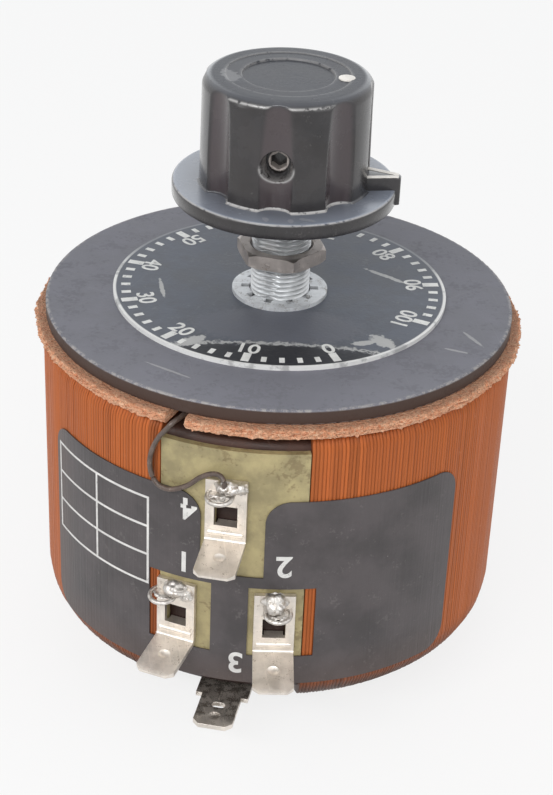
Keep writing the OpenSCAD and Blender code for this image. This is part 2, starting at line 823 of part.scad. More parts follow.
module board_slot(azimuth, z_bend) {
    facing(azimuth) translate([r_board - cut, -window_w / 2, z_bend + window_up - tab_t - tongue_fit])
        cube([board_t + 2 * cut, window_w, window_h + tab_t + tongue_fit]);
}

// Quick-connect terminal: a leg on the board with a lanced window, and a tab bent outwards
module terminal(azimuth, z_bend, droop) {
    pivot = [r_leg_face + bend_r, z_bend + bend_r];
    turn = 270 - droop;
    along = [cos(droop), -sin(droop)];
    up = [sin(droop), cos(droop)];
    top_start = pivot - bend_r * up;
    top_end = top_start + tab_l * along;
    bevel_in = top_end - end_bevel_l * along;
    outline = concat([[r_leg, z_bend + leg_l], [r_leg_face, z_bend + leg_l]],
                     arc(pivot, bend_r, 180, turn, inner_steps),
                     [bevel_in, top_end - end_bevel * up, top_end - (tab_t - end_bevel) * up,
                      bevel_in - tab_t * up],
                     arc(pivot, bend_r + tab_t, turn, 180, outer_steps));
    dimple = top_start + dimple_share * tab_l * along + (dimple_r - dimple_depth) * up;
    facing(azimuth) {
        difference() {
            rotate([90, 0, 0]) linear_extrude(tab_w, center = true) polygon(outline);
            translate([r_leg - cut, -window_w / 2, z_bend + window_up])
                cube([tab_t + 2 * cut, window_w, window_h]);
            translate([dimple[0], 0, dimple[1]]) sphere(dimple_r);
            for (side = [-1, 1])
                translate([top_end[0], side * tab_w / 2, top_end[1]]) rotate([0, droop, 0])
                    tab_corner();
        }
        translate([r_board + seat, -tongue_w / 2, z_bend + window_up - tab_t])
            cube([r_leg_face - r_board - 2 * seat, tongue_w, tab_t]);
        translate([r_leg_face + ridge_proud - ridge_r, 0, z_bend + ridge_up]) rotate([90, 0, 0])
            cylinder(r = ridge_r, h = tab_w - 2 * ridge_in, center = true);
    }
}

// Cutter for one corner of a tab's end
module tab_corner() {
    w = tab_chamfer * sqrt(2);
    rotate(45) cube([w, w, 4 * tab_t], center = true);
}

module terminal_1() {
    color("#c9c0ae") terminal(term_1_azimuth, z_low_bend, droop_1);
}

module terminal_2() {
    color("#c9c0ae") terminal(term_2_azimuth, z_low_bend, droop_2);
}

module terminal_4() {
    color("#c9c0ae") terminal(term_4_azimuth, z_top_bend, droop_4);
}

// A flat length of strip along +X, at a height
module strip(from, to, w, z) {
    translate([from, -w / 2, z]) cube([to - from, w, tab_t]);
}

// Collector strap: a ring round the hub, a strap with a step up into the winding's gap, and a tab
module terminal_3() {
    r_ring = r_neck + collector_fit;
    r_end = r_coil + tab_3_reach;
    r_shoulder = r_coil - shoulder_l - shoulder_in;
    turn = gap_mid - term_3_azimuth;
    color("#c9c0ae") facing(term_3_azimuth) difference() {
        union() {
            bar(collector_d / 2, z_collector, z_clamp);
            strip(r_ring, r_step + tab_t, tab_w, z_collector);
            translate([r_step, -tab_w / 2, z_collector])
                cube([tab_t, tab_w, z_strap + tab_t - z_collector]);
            strip(r_step, r_end, tab_w, z_strap);
            strip(r_shoulder, r_shoulder + shoulder_l, shoulder_w, z_strap);
        }
        bar(r_ring, z_collector - cut, z_clamp + cut);
        rotate(turn) translate([stop_r, 0, 0]) bar(stop_d / 2 + stop_fit, z_collector - cut, z_clamp + cut);
        for (side = [-1, 1]) {
            translate([r_end, side * tab_w / 2, z_strap]) tab_corner();
            translate([r_coil + slot_in, side * (slot_l / 2 - slot_r), 0])
                bar(slot_r, z_strap - cut, z_strap + tab_t + cut);
        }
        translate([r_coil + slot_in - slot_r, slot_r - slot_l / 2, z_strap - cut])
            cube([2 * slot_r, slot_l - 2 * slot_r, tab_t + 2 * cut]);
        translate([r_coil + tab_3_reach / 2 + slot_r, 0, z_strap + tab_t + dimple_r - dimple_depth])
            sphere(dimple_r);
    }
}

// Solder on the upper end of a terminal leg
module solder_dome(azimuth, z_bend) {
    facing(azimuth) intersection() {
        translate([r_leg_face + solder_h - solder_r, 0, z_bend + solder_up]) sphere(solder_r);
        translate([r_leg_face, -solder_r, z_bend]) cube([2 * solder_r, 2 * solder_r, leg_l + solder_r]);
    }
}

module solder_joints() {
    color("#d8d4c8") {
        solder_dome(term_1_azimuth, z_low_bend);
        solder_dome(term_2_azimuth, z_low_bend);
        solder_dome(term_4_azimuth, z_top_bend);
    }
}

// Dark wrap over the winding: two lobes with round shoulders either side of terminal 4, joined by a band
// below it, with windows at terminals 1 and 2
module label_wrap() {
    z_low = z_coil + label_up;
    z_high = z_top - label_down;
    z_window = z_low_bend - label_window_foot;
    z_notch = z_window + label_window_h + notch_strip;
    color("#3b3a3d") difference() {
        revolve_between(label_left, label_right)
            translate([r_coil, z_low]) square([label_t, z_high - z_low]);
        revolve_between(notch_left, notch_right)
            translate([r_coil - label_cut, z_notch]) square([2 * label_cut, z_top - z_notch]);
        label_corner(label_left, z_low, 1, 1);
        label_corner(label_left, z_high, 1, -1);
        label_corner(notch_left, z_high, -1, -1);
        label_corner(notch_right, z_high, 1, -1);
        label_corner(label_right, z_high, -1, -1);
        label_corner(label_right, z_low, -1, 1);
        label_hole(label_window_1, label_window_w, z_window, label_window_h);
        label_hole(label_window_2, label_window_w, z_window, label_window_h);
    }
}

// A square hole through the label, in front of an azimuth
module label_hole(azimuth, w, low, h) {
    facing(azimuth) translate([r_coil - label_cut, -w / 2, low]) cube([2 * label_cut, w, h]);
}

// Round one corner of the label: along is the side that it opens to, up is 1 at a foot and -1 at a top
module label_corner(azimuth, z, along, up) {
    r = label_corner_r;
    round = arc([r, r], r, 265, 185, corner_steps);
    side = round[0][0];
    waste = concat([[-cut, -cut], [side, -cut]], round, [[-cut, side]]);
    facing(azimuth) translate([r_coil - label_cut, 0, z]) rotate([90, 0, 90]) linear_extrude(2 * label_cut)
        polygon([for (p = waste) [along * p[0], up * p[1]]]);
}

// Point of the lead's route in space, and a smooth curve through the points
function lead_point(p) =
    let (r = r_coil + p[1])
    [r * sin(p[0]), -r * cos(p[0]), z_top - p[2]];
function smooth(a, b, c, d, t) =
    0.5 * (2 * b + (c - a) * t + (2 * a - 5 * b + 4 * c - d) * t * t + (3 * b - a - 3 * c + d) * t * t * t);
function curve(p, steps) = [
    for (i = [0:len(p) - 2], s = [0:steps - 1])
        smooth(p[max(i - 1, 0)], p[i], p[i + 1], p[min(i + 2, len(p) - 1)], s / steps),
    p[len(p) - 1]];

// Round tube along a path of points
module tube(path, r, sides) {
    last = len(path) - 1;
    points = [for (i = [0:last])
        let (d = path[min(i + 1, last)] - path[max(i - 1, 0)], w = d / norm(d),
             g = abs(w[2]) < 0.9 ? [0, 0, 1] : [0, 1, 0],
             u = cross(w, g) / norm(cross(w, g)), v = cross(w, u))
        for (k = [0:sides - 1]) path[i] + r * (cos(k * 360 / sides) * u + sin(k * 360 / sides) * v)];
    walls = [for (i = [0:last - 1], k = [0:sides - 1])
        let (n = (k + 1) % sides, low = i * sides, high = low + sides)
        each [[low + k, high + k, high + n], [low + k, high + n, low + n]]];
    ends = [[for (k = [0:sides - 1]) k], [for (k = [sides - 1:-1:0]) last * sides + k]];
    polyhedron(points, concat(walls, ends));
}

module lead_wire() {
    color("#6b5f55") tube(curve([for (p = lead_route) lead_point(p)], lead_steps), lead_d / 2, lead_sides);
}

// Moulded clamp under the coil: a flange, a spigot in the bore, seats for the nuts and the stop post
module coil_clamp() {
    color("#4a3528") difference() {
        union() {
            bar(r_clamp, z_clamp, z_coil);
            bar(r_bore - spigot_fit, z_clamp, z_coil + spigot_h);
            facing(gap_mid) translate([stop_r, 0, 0]) bar(stop_d / 2, z_clamp - stop_depth, z_clamp + cut);
        }
        bar(bearing_d / 2, z_clamp - cut, z_coil + spigot_h + cut);
        at_screws() {
            bar(screw_d / 2 + screw_fit, z_clamp - cut, z_coil + spigot_h + cut);
            rotate(30) translate([0, 0, z_clamp - cut])
                cylinder(r = clamp_nut_af / sqrt(3) + screw_fit, h = clamp_nut_t + seat + cut, $fn = 6);
        }
    }
}

module rear_bearing() {
    color("#a8834a") ring(r_bearing, bearing_d / 2, z_clamp, z_coil + spigot_h);
}

module thrust_washer() {
    color("silver") ring(r_bearing, washer_d / 2, z_collector - neck_top_gap + washer_play,
                         z_clamp - washer_play);
}

// Insulating hub: the foot that the part stands on, with a neck through the arm and a blind bore
module arm_hub() {
    color("#3f2d22") difference() {
        union() {
            cylinder(r1 = hub_d / 2 - hub_chamfer, r2 = hub_d / 2, h = hub_chamfer);
            bar(hub_d / 2, hub_chamfer, z_arm);
            bar(r_neck, z_arm, z_collector - neck_top_gap);
        }
        bar(r_shaft + press, hub_floor, z_clamp);
        at_rivets() bar(rivet_d / 2 + seat, -cut, z_arm + cut);
        at_rivets() bar(rivet_head_d / 2 + seat, -cut, rivet_head_t + seat);
    }
}

// Places of the two arm rivets, across the arm
module at_rivets() {
    for (side = [-90, 90]) facing(arm_azimuth + side) translate([rivet_r, 0, 0]) children();
}

module arm_rivets() {
    color("silver") at_rivets() {
        bar(rivet_d / 2, seat, z_arm_top);
        bar(rivet_head_d / 2, seat, rivet_head_t);
        bar(rivet_head_d / 2, z_arm_top, z_arm_top + rivet_head_t);
    }
}

// Stamped arm: a round middle on the hub and a bar with a round end that carries the brush holder
module brush_arm() {
    r_end = track_r + holder_out / 2 + arm_lap - arm_w / 2;
    color("#b9b6ae") difference() {
        union() {
            bar(hub_d / 2, z_arm, z_arm_top);
            facing(arm_azimuth) {
                translate([0, -arm_w / 2, z_arm]) cube([r_end, arm_w, arm_t]);
                translate([r_end, 0, 0]) bar(arm_w / 2, z_arm, z_arm_top);
            }
        }
        bar(r_neck + neck_fit, z_arm - cut, z_arm_top + cut);
        at_rivets() bar(rivet_d / 2 + seat, z_arm - cut, z_arm_top + cut);
        facing(arm_azimuth) post(holder_out + 2 * holder_fit, z_arm - cut, z_arm_top + cut);
    }
}

// A square post on the brush track, between two heights
module post(w, low, high) {
    translate([track_r - w / 2, -w / 2, low]) cube([w, w, high - low]);
}

// Square brass cup for the brush and its spring, with a lip that sits on the arm
module brush_holder() {
    color("#b59a4a") facing(arm_azimuth) difference() {
        union() {
            post(holder_out, z_spring - holder_wall, z_coil - holder_below_track);
            post(holder_out + 2 * holder_lip, z_arm_top, z_arm_top + holder_lip_t);
        }
        post(holder_in, z_spring, z_coil);
    }
}

module carbon_brush() {
    color("#2c2c2e") facing(arm_azimuth) post(brush_w, z_brush, z_brush_top);
}

// Coil spring that presses the brush against the track
module brush_spring() {
    sides = 6;
    per_turn = 12;
    rise = spring_l - spring_wire - 2 * seat;
    path = [for (i = [0:spring_turns * per_turn])
        [r_spring * cos(i * 360 / per_turn), r_spring * sin(i * 360 / per_turn),
         z_spring + seat + spring_wire / 2 + rise * i / (spring_turns * per_turn)]];
    color("silver") facing(arm_azimuth) translate([track_r, 0, 0]) tube(path, spring_wire / 2, sides);
}

// Dished washer that turns with the arm and rubs on the collector ring
module contact_washer() {
    r_in = r_neck + neck_fit;
    r_out = collector_d / 2 - collector_fit;
    z_rub = z_collector - contact_play;
    color("#b59a4a") rotate_extrude()
        polygon([[r_in, z_arm_top], [r_in + contact_t, z_arm_top], [r_out, z_rub - contact_t],
                 [r_out, z_rub], [r_out - contact_t, z_rub], [r_in, z_arm_top + contact_t]]);
}

base_plate();
cork_ring();
dial_plate();
panel_bushing();
lock_washer();
panel_nut();
core();
core_cap_upper();
core_cap_lower();
winding();
terminal_board();
label_wrap();
terminal_1();
terminal_2();
terminal_3();
terminal_4();
solder_joints();
lead_wire();
coil_clamp();
rear_bearing();
clamp_screws();
clamp_nuts();
shaft();
knob();
knob_insert();
knob_set_screw();
index_dot();
retaining_ring();
thrust_washer();
arm_hub();
brush_arm();
arm_rivets();
brush_holder();
contact_washer();
brush_spring();
carbon_brush();
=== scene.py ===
# Looks of a panel-mounting variable autotransformer, laid over its packed CAD model.
# Lengths are metres. An azimuth is counted in degrees from the terminal side (-Y), positive towards +X.
import json
import math

import bmesh
import bpy
import numpy as np
from bpy.props import FloatProperty, FloatVectorProperty, IntProperty, PointerProperty
from mathutils import Matrix, Vector


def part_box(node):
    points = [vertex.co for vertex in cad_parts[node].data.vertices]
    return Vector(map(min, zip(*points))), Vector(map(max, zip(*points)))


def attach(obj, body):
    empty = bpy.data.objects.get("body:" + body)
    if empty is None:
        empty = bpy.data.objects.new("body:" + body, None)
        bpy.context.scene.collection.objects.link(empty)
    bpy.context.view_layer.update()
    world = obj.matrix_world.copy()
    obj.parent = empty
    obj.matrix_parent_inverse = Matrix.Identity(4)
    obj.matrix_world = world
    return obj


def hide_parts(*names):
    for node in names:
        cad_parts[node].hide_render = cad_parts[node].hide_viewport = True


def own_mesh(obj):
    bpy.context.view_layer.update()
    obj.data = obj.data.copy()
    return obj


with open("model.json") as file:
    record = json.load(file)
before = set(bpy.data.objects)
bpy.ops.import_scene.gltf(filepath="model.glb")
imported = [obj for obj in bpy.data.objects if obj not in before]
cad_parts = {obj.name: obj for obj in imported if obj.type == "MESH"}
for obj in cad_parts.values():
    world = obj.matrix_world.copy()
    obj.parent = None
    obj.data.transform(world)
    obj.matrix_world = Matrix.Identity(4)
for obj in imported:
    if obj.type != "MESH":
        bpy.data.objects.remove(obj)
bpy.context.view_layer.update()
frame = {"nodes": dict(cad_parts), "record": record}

bl_info = {
    "name": "Variable Autotransformer",
    "version": (1, 0, 0),
    "blender": (4, 5, 0),
    "location": "View3D > Sidebar > Autotransformer",
    "description": "Dresses the packed solids of a panel-mounting variable autotransformer",
    "category": "Object",
}

MM = 0.001
MOUNTS = {mount["name"]: mount["pos_m"] for mount in frame["record"]["mounts"]}


def corners(node):
    """Lowest and highest corner of a packed node, as arrays."""
    low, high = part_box(node)
    return np.array(low), np.array(high)


def azimuth_of(spot):
    """Azimuth of a place."""
    return math.degrees(math.atan2(spot[0], -spot[1]))


COIL_LOW, COIL_HIGH = corners("winding")
PLATE_LOW, PLATE_HIGH = corners("base_plate")
CORK_LOW, CORK_HIGH = corners("cork_ring")
DIAL_LOW, DIAL_HIGH = corners("dial_plate")
BUSHING_LOW, BUSHING_HIGH = corners("panel_bushing")
KNOB_LOW, KNOB_HIGH = corners("knob")
COIL_R = COIL_HIGH[0]
PLATE_R, PLATE_TOP = PLATE_HIGH[0], PLATE_HIGH[2]
DIAL_R = (DIAL_HIGH[0] - DIAL_LOW[0]) / 2
DIAL_Y = (DIAL_LOW[1] + DIAL_HIGH[1]) / 2
KNOB_FOOT, KNOB_TOP = KNOB_LOW[2], KNOB_HIGH[2]
SKIRT_R, SKIRT_TOP = -KNOB_LOW[1], KNOB_FOOT + 2.55 * MM
POINTER = azimuth_of(sum(corners("index_dot")))
SCREW_AZIMUTH, SCREW_Z = POINTER - 90.0, SKIRT_TOP + 7.0 * MM
THREAD_R = 4.7625 * MM
INK = 0.03 * MM


# Settings

def length(label, text, value):
    """Property for a length, given in millimetres."""
    return FloatProperty(name=label, description=text, default=value * MM, min=0.0, precision=5, unit="LENGTH")


def angle(label, text, value):
    """Property for an angle, given in degrees."""
    return FloatProperty(name=label, description=text, default=math.radians(value), subtype="ANGLE")


def colour(label, text, value):
    """Property for a colour."""
    return FloatVectorProperty(name=label, description=text, default=value, min=0.0, max=1.0, subtype="COLOR")


class CoilLooks(bpy.types.PropertyGroup):
    """Winding, cork ring and insulation."""
    wire_pitch: length("Wire pitch", "Spacing of the turns on the outside of the coil", 0.56)
    wire_groove: length("Wire groove", "Depth of the groove between two turns", 0.17)
    wire_wander: length("Wire wander", "How far a turn strays sideways", 0.16)
    wire_colour: colour("Wire colour", "Enamelled copper", (0.51, 0.13, 0.03))
    cork_grain: length("Cork grain", "Roughness of the cork ring's outer edge", 0.3)
    cork_colour: colour("Cork colour", "Pressed cork", (0.95, 0.42, 0.23))
    board_colour: colour("Board colour", "Fibre sheet under the terminals", (0.38, 0.32, 0.165))
    label_colour: colour("Label colour", "Dark wrap round the coil", (0.062, 0.054, 0.056))


class DialLooks(bpy.types.PropertyGroup):
    """Base plate and printed dial."""
    zero_azimuth: angle("Zero azimuth", "Where the scale begins", 20.8)
    unit_turn: angle("Turn per unit", "Angle between two units of the scale", 3.157)
    tick_outer: length("Tick outer radius", "Outer end of the long ticks", 26.1)
    long_tick: length("Long tick", "Length of the tick at each ten", 2.6)
    short_tick: length("Short tick", "Length of the ticks between", 1.5)
    numeral_height: length("Numeral height", "Height of the dial's numbers", 2.9)
    plate_colour: colour("Plate colour", "Dark phenolic sheet", (0.158, 0.159, 0.184))
    dial_colour: colour("Dial colour", "Black enamel", (0.085, 0.095, 0.118))
    print_colour: colour("Print colour", "Off-white ink", (0.82, 0.82, 0.8))


class KnobLooks(bpy.types.PropertyGroup):
    """Moulded knob with its pointer, and the threaded bushing."""
    flutes: IntProperty(name="Flutes", description="Number of flutes round the knob", default=8, min=4)
    flute_width: length("Flute width", "Width of a flute, from the skirt to the top", 5.2)
    flute_foot: length("Flute foot", "Depth of a flute at the skirt", 1.6)
    flute_head: length("Flute head", "Depth of a flute at the top", 0.55)
    body_radius: length("Body radius", "Radius of the knob at the skirt", 13.4)
    top_radius: length("Top radius", "Radius of the knob at its top", 13.2)
    edge_radius: length("Edge radius", "Rounding of the top edge", 1.7)
    thread_pitch: length("Thread pitch", "Pitch of the bushing's thread", 0.794)
    thread_depth: length("Thread depth", "Depth of the bushing's thread", 0.42)
    knob_colour: colour("Knob colour", "Black moulding", (0.021, 0.02, 0.022))


class TerminalLooks(bpy.types.PropertyGroup):
    """Tinned terminals, solder and lead."""
    edge_ease: length("Edge ease", "Rounding of the stamped edges", 0.16)
    lead_radius: length("Lead radius", "Radius of the lead", 0.4)
    tin_colour: colour("Tin colour", "Tinned brass", (0.82, 0.76, 0.69))
    lead_colour: colour("Lead colour", "Varnished lead", (0.06, 0.042, 0.034))


class StageLooks(bpy.types.PropertyGroup):
    """Floor, light and camera."""
    lens: length("Lens", "Focal length on a frame 36 mm high", 83.794)
    camera_spot: FloatVectorProperty(name="Camera place", description="Where the camera stands", unit="LENGTH",
                                     default=(0.0, -0.268319, 0.197203), subtype="TRANSLATION")
    camera_yaw: angle("Camera yaw", "Turn of the camera about the vertical", -0.0536)
    camera_pitch: angle("Camera pitch", "Tilt of the camera", -29.9608)
    camera_roll: angle("Camera roll", "Lean of the picture", -2.4715)
    floor_colour: colour("Floor colour", "Pale floor", (0.86, 0.86, 0.86))
    sky_level: FloatProperty(name="Sky level", description="Light that comes from all round", default=0.5, min=0.0)
    key_power: FloatProperty(name="Key power", description="Power of the main lamp", default=3.4, min=0.0,
                             unit="POWER")


# Surfaces

def ring_points(azimuth, r, z):
    """Points at azimuths, radii and heights: x = r sin a, y = -r cos a."""
    turn = np.radians(azimuth)
    return np.stack(np.broadcast_arrays(r * np.sin(turn), -r * np.cos(turn), z), axis=-1)


def framed(azimuth, out, across, up):
    """Points from their distances out along one azimuth, across it and up."""
    sine, cosine = math.sin(math.radians(azimuth)), math.cos(math.radians(azimuth))
    return np.stack(np.broadcast_arrays(out * sine + across * cosine, across * sine - out * cosine, up), axis=-1)


def bands(azimuth, *rows):
    """Join bands of rows. Each value of a band is one number, one for each row, or rows by azimuths."""
    spread = [np.broadcast_arrays(azimuth[None], *(v[:, None] if np.ndim(v) == 1 else v for v in band))[1:]
              for band in rows]
    return [np.concatenate(parts) for parts in zip(*spread)]


def step(low, high, value):
    """Smooth step from 0 at low to 1 at high."""
    share = np.clip((value - low) / (high - low), 0.0, 1.0)
    return share * share * (3.0 - 2.0 * share)


def bell(value, middle, width):
    """Smooth bump of height 1 at a middle: exp(-t^2)."""
    return np.exp(-((value - middle) / width) ** 2)


def soft_least(first, second, width):
    """Smaller of two values, rounded over a width where they cross."""
    share = np.clip(0.5 + 0.5 * (second - first) / width, 0.0, 1.0)
    return second + (first - second) * share - width * share * (1.0 - share)


def grain(u, v, seed):
    """Smooth noise from -1 to 1: seeded values at whole numbers of u and v, blended between them."""
    table = np.random.default_rng(seed).uniform(-1.0, 1.0, (256, 256))
    low_u, low_v = np.floor(u).astype(int), np.floor(v).astype(int)
    share_u, share_v = step(0.0, 1.0, u - low_u), step(0.0, 1.0, v - low_v)
    low_u, low_v = low_u % 256, low_v % 256
    next_u, next_v = (low_u + 1) % 256, (low_v + 1) % 256
    below = table[low_u, low_v] * (1.0 - share_u) + table[next_u, low_v] * share_u
    above = table[low_u, next_v] * (1.0 - share_u) + table[next_u, next_v] * share_u
    return below * (1.0 - share_v) + above * share_v


def box_outline(low, high, radii, steps, walls):
    """Closed outline, counter-clockwise, of a rectangle in r and z with a quarter circle at each corner.

    The corners run lower inner, lower outer, upper outer, upper inner, and walls points lie on each side between."""
    sides = np.array([[low[0], low[1]], [high[0], low[1]], [high[0], high[1]], [low[0], high[1]]])
    inwards = np.array([[1, 1], [-1, 1], [-1, -1], [1, -1]])
    radii = np.array(radii)[:, None]
    centres = sides + inwards * radii
    turns = np.radians(np.array([180, 270, 0, 90])[:, None] + np.linspace(0, 90, steps))
    arcs = centres[:, None] + radii[:, None] * np.stack([np.cos(turns), np.sin(turns)], -1)
    shares = np.linspace(0, 1, walls + 2)[1:-1, None]
    rows = []
    for here, after in zip(arcs, np.roll(arcs, -1, axis=0)):
        rows += [here, here[-1] * (1 - shares) + after[0] * shares]
    return np.concatenate(rows)


def outward(outline):
    """Unit normals of a counter-clockwise outline: its tangent turned by a quarter."""
    tangent = np.roll(outline, -1, axis=0) - np.roll(outline, 1, axis=0)
    normal = np.stack([tangent[:, 1], -tangent[:, 0]], -1)
    return normal / np.linalg.norm(normal, axis=1, keepdims=True)


def with_ends(grid):
    """Close the first and last column of a grid of loops: each end column is drawn into its own middle."""
    middles = grid.mean(axis=-3, keepdims=True)
    first = np.broadcast_to(middles[..., :1, :], grid[..., :1, :].shape)
    last = np.broadcast_to(middles[..., -1:, :], grid[..., -1:, :].shape)
    return np.concatenate([first, grid, last], axis=-2)


def tube(path, r, sides):
    """Round tube: circles of radius r square to a path's tangent, as loops by columns, with closed ends."""
    tangent = np.gradient(path, axis=0)
    tangent /= np.linalg.norm(tangent, axis=1, keepdims=True)
    guide = np.where(np.abs(tangent[:, 2:]) < 0.85, [[0.0, 0.0, 1.0]], [[0.0, 1.0, 0.0]])
    side = np.cross(tangent, guide)
    side /= np.linalg.norm(side, axis=1, keepdims=True)
    turn = np.linspace(0, 2 * np.pi, sides, endpoint=False)[:, None, None]
    return with_ends(path + r * (np.cos(turn) * side + np.sin(turn) * np.cross(side, tangent)))


def curve_through(points, count):
    """Points along a smooth curve through the given ones: Catmull-Rom pieces, sampled by number."""
    padded = np.concatenate([2 * points[:1] - points[1:2], points, 2 * points[-1:] - points[-2:-1]])
    place = np.linspace(0, len(points) - 1 - 1e-9, count)
    first = place.astype(int)
    t = (place - first)[:, None]
    a, b, c, d = (padded[first + i] for i in range(4))
    return 0.5 * (2 * b + (c - a) * t + (2 * a - 5 * b + 4 * c - d) * t ** 2 + (3 * b - a - 3 * c + d) * t ** 3)


def solid_of(mesh):
    """Points and faces of a mesh."""
    points = np.empty(len(mesh.vertices) * 3)
    mesh.vertices.foreach_get("co", points)
    return points.reshape(-1, 3), [list(face.vertices) for face in mesh.polygons]


def new_mesh(name, points, faces, merge, mend=None, values=None):
    """Mesh with values on its points. Points closer than merge become one, and mend works on the result."""
    mesh = bpy.data.meshes.new(name)
    mesh.from_pydata(points.tolist(), [], faces)
    for label, value in (values or {}).items():
        mesh.attributes.new(label, "FLOAT", "POINT").data.foreach_set("value", np.ravel(value).astype(np.float32))
    work = bmesh.new()
    work.from_mesh(mesh)
    bmesh.ops.remove_doubles(work, verts=work.verts, dist=merge)
    if mend:
        mend(work)
    work.to_mesh(mesh)
    work.free()
    return mesh


def surface(name, grids, wrap_rows=False, wrap_columns=True, values=None, crease=40.0):
    """Object of one grid of points, or of a stack of like grids: each cell is a face that looks outwards.

    It is shaded smooth up to a crease angle in degrees."""
    grids = grids if grids.ndim == 4 else grids[None]
    count, rows, columns = grids.shape[:3]
    row = np.arange(rows if wrap_rows else rows - 1)[:, None]
    column = np.arange(columns if wrap_columns else columns - 1)[None]
    after_row, after_column = (row + 1) % rows, (column + 1) % columns
    cells = np.stack(np.broadcast_arrays(row * columns + column, row * columns + after_column,
                                         after_row * columns + after_column, after_row * columns + column), -1)
    faces = (cells.reshape(1, -1, 4) + np.arange(count)[:, None, None] * rows * columns).reshape(-1, 4)
    points = grids.reshape(-1, 3)
    a, b, c, d = (points[faces[:, i]] - points.mean(axis=0) for i in range(4))
    if np.einsum("ij,ij->", a, np.cross(b, c) + np.cross(c, d)) < 0:
        faces = faces[:, ::-1]
    mesh = new_mesh(name, points, faces.tolist(), 2e-7, values=values)
    mesh.shade_smooth()
    mesh.set_sharp_from_angle(angle=math.radians(crease))
    return bpy.data.objects.new(name, mesh)


def round_bar(name, paths, r, sides):
    """Object of a round wire along one path, or of several along paths with as many points."""
    wires = np.stack([tube(path, r, sides) for path in paths])
    return surface(name, wires, wrap_rows=True, wrap_columns=False, crease=80.0)


def eased_copy(node, name, width):
    """Copy of a packed node with its flat faces joined and its edges rounded."""
    def flatten(work):
        bmesh.ops.dissolve_limit(work, angle_limit=math.radians(1.0), verts=work.verts, edges=work.edges)

    mesh = new_mesh(name, *solid_of(frame["nodes"][node].data), 1e-6, flatten)
    mesh.shade_smooth()
    piece = bpy.data.objects.new(name, mesh)
    bevel = piece.modifiers.new("eased edges", "BEVEL")
    bevel.width = width
    bevel.segments = 2
    bevel.limit_method = "ANGLE"
    bevel.angle_limit = math.radians(32.0)
    bevel.harden_normals = True
    return piece


def numeral(text, height, bold):
    """Points and faces of a plain printed numeral, centred, with its height along y and the ink along z."""
    curve, half_thick = bpy.data.curves.new("numeral", "FONT"), 0.05
    curve.body = text
    curve.extrude = half_thick
    curve.offset = bold
    holder = bpy.data.objects.new("numeral", curve)
    bpy.context.scene.collection.objects.link(holder)
    solid = bpy.data.meshes.new_from_object(holder.evaluated_get(bpy.context.evaluated_depsgraph_get()))
    points, faces = solid_of(solid)
    bpy.data.objects.remove(holder)
    bpy.data.curves.remove(curve)
    bpy.data.meshes.remove(solid)
    low, high = points.min(axis=0), points.max(axis=0)
    scale = height / (high[1] - low[1])
    return (points - (low + high) / 2) * [scale, scale, INK / (2 * half_thick)], faces


def bars(low_x, high_x, low_y, high_y, low_z, high_z, cuts=2):
    """Points and faces of a bar, cut across x so that it can be bent."""
    x = np.linspace(low_x, high_x, cuts)[:, None]
    points = np.stack(np.broadcast_arrays(x, [low_y, high_y, high_y, low_y], [low_z, low_z, high_z, high_z]), -1)
    faces = [[4 * i + k, 4 * i + (k + 1) % 4, 4 * i + 4 + (k + 1) % 4, 4 * i + 4 + k]
             for i in range(cuts - 1) for k in range(4)]
    return points.reshape(-1, 3), faces + [[0, 1, 2, 3], [4 * cuts - 4 + k for k in (3, 2, 1, 0)]]


def joined(name, solids):
    """Object of several sets of points and faces."""
    def turn_out(work):
        bmesh.ops.recalc_face_normals(work, faces=work.faces)

    faces, count = [], 0
    for points, some_faces in solids:
        faces += [[count + i for i in face] for face in some_faces]
        count += len(points)
    points = np.concatenate([points for points, some_faces in solids])
    return bpy.data.objects.new(name, new_mesh(name, points, faces, 1e-7, turn_out))


def dress(piece, body, material, hides=()):
    """Put a piece in the scene: its finish, the body it rides on and the nodes that it stands for."""
    bpy.context.scene.collection.objects.link(piece)
    piece.data.materials.clear()
    piece.data.materials.append(material)
    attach(piece, body)
    if hides:
        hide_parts(*hides)


# Finishes

def toned(tint, factor):
    """A colour times a factor, up to white."""
    return tuple(min(1.0, factor * c) for c in tint)


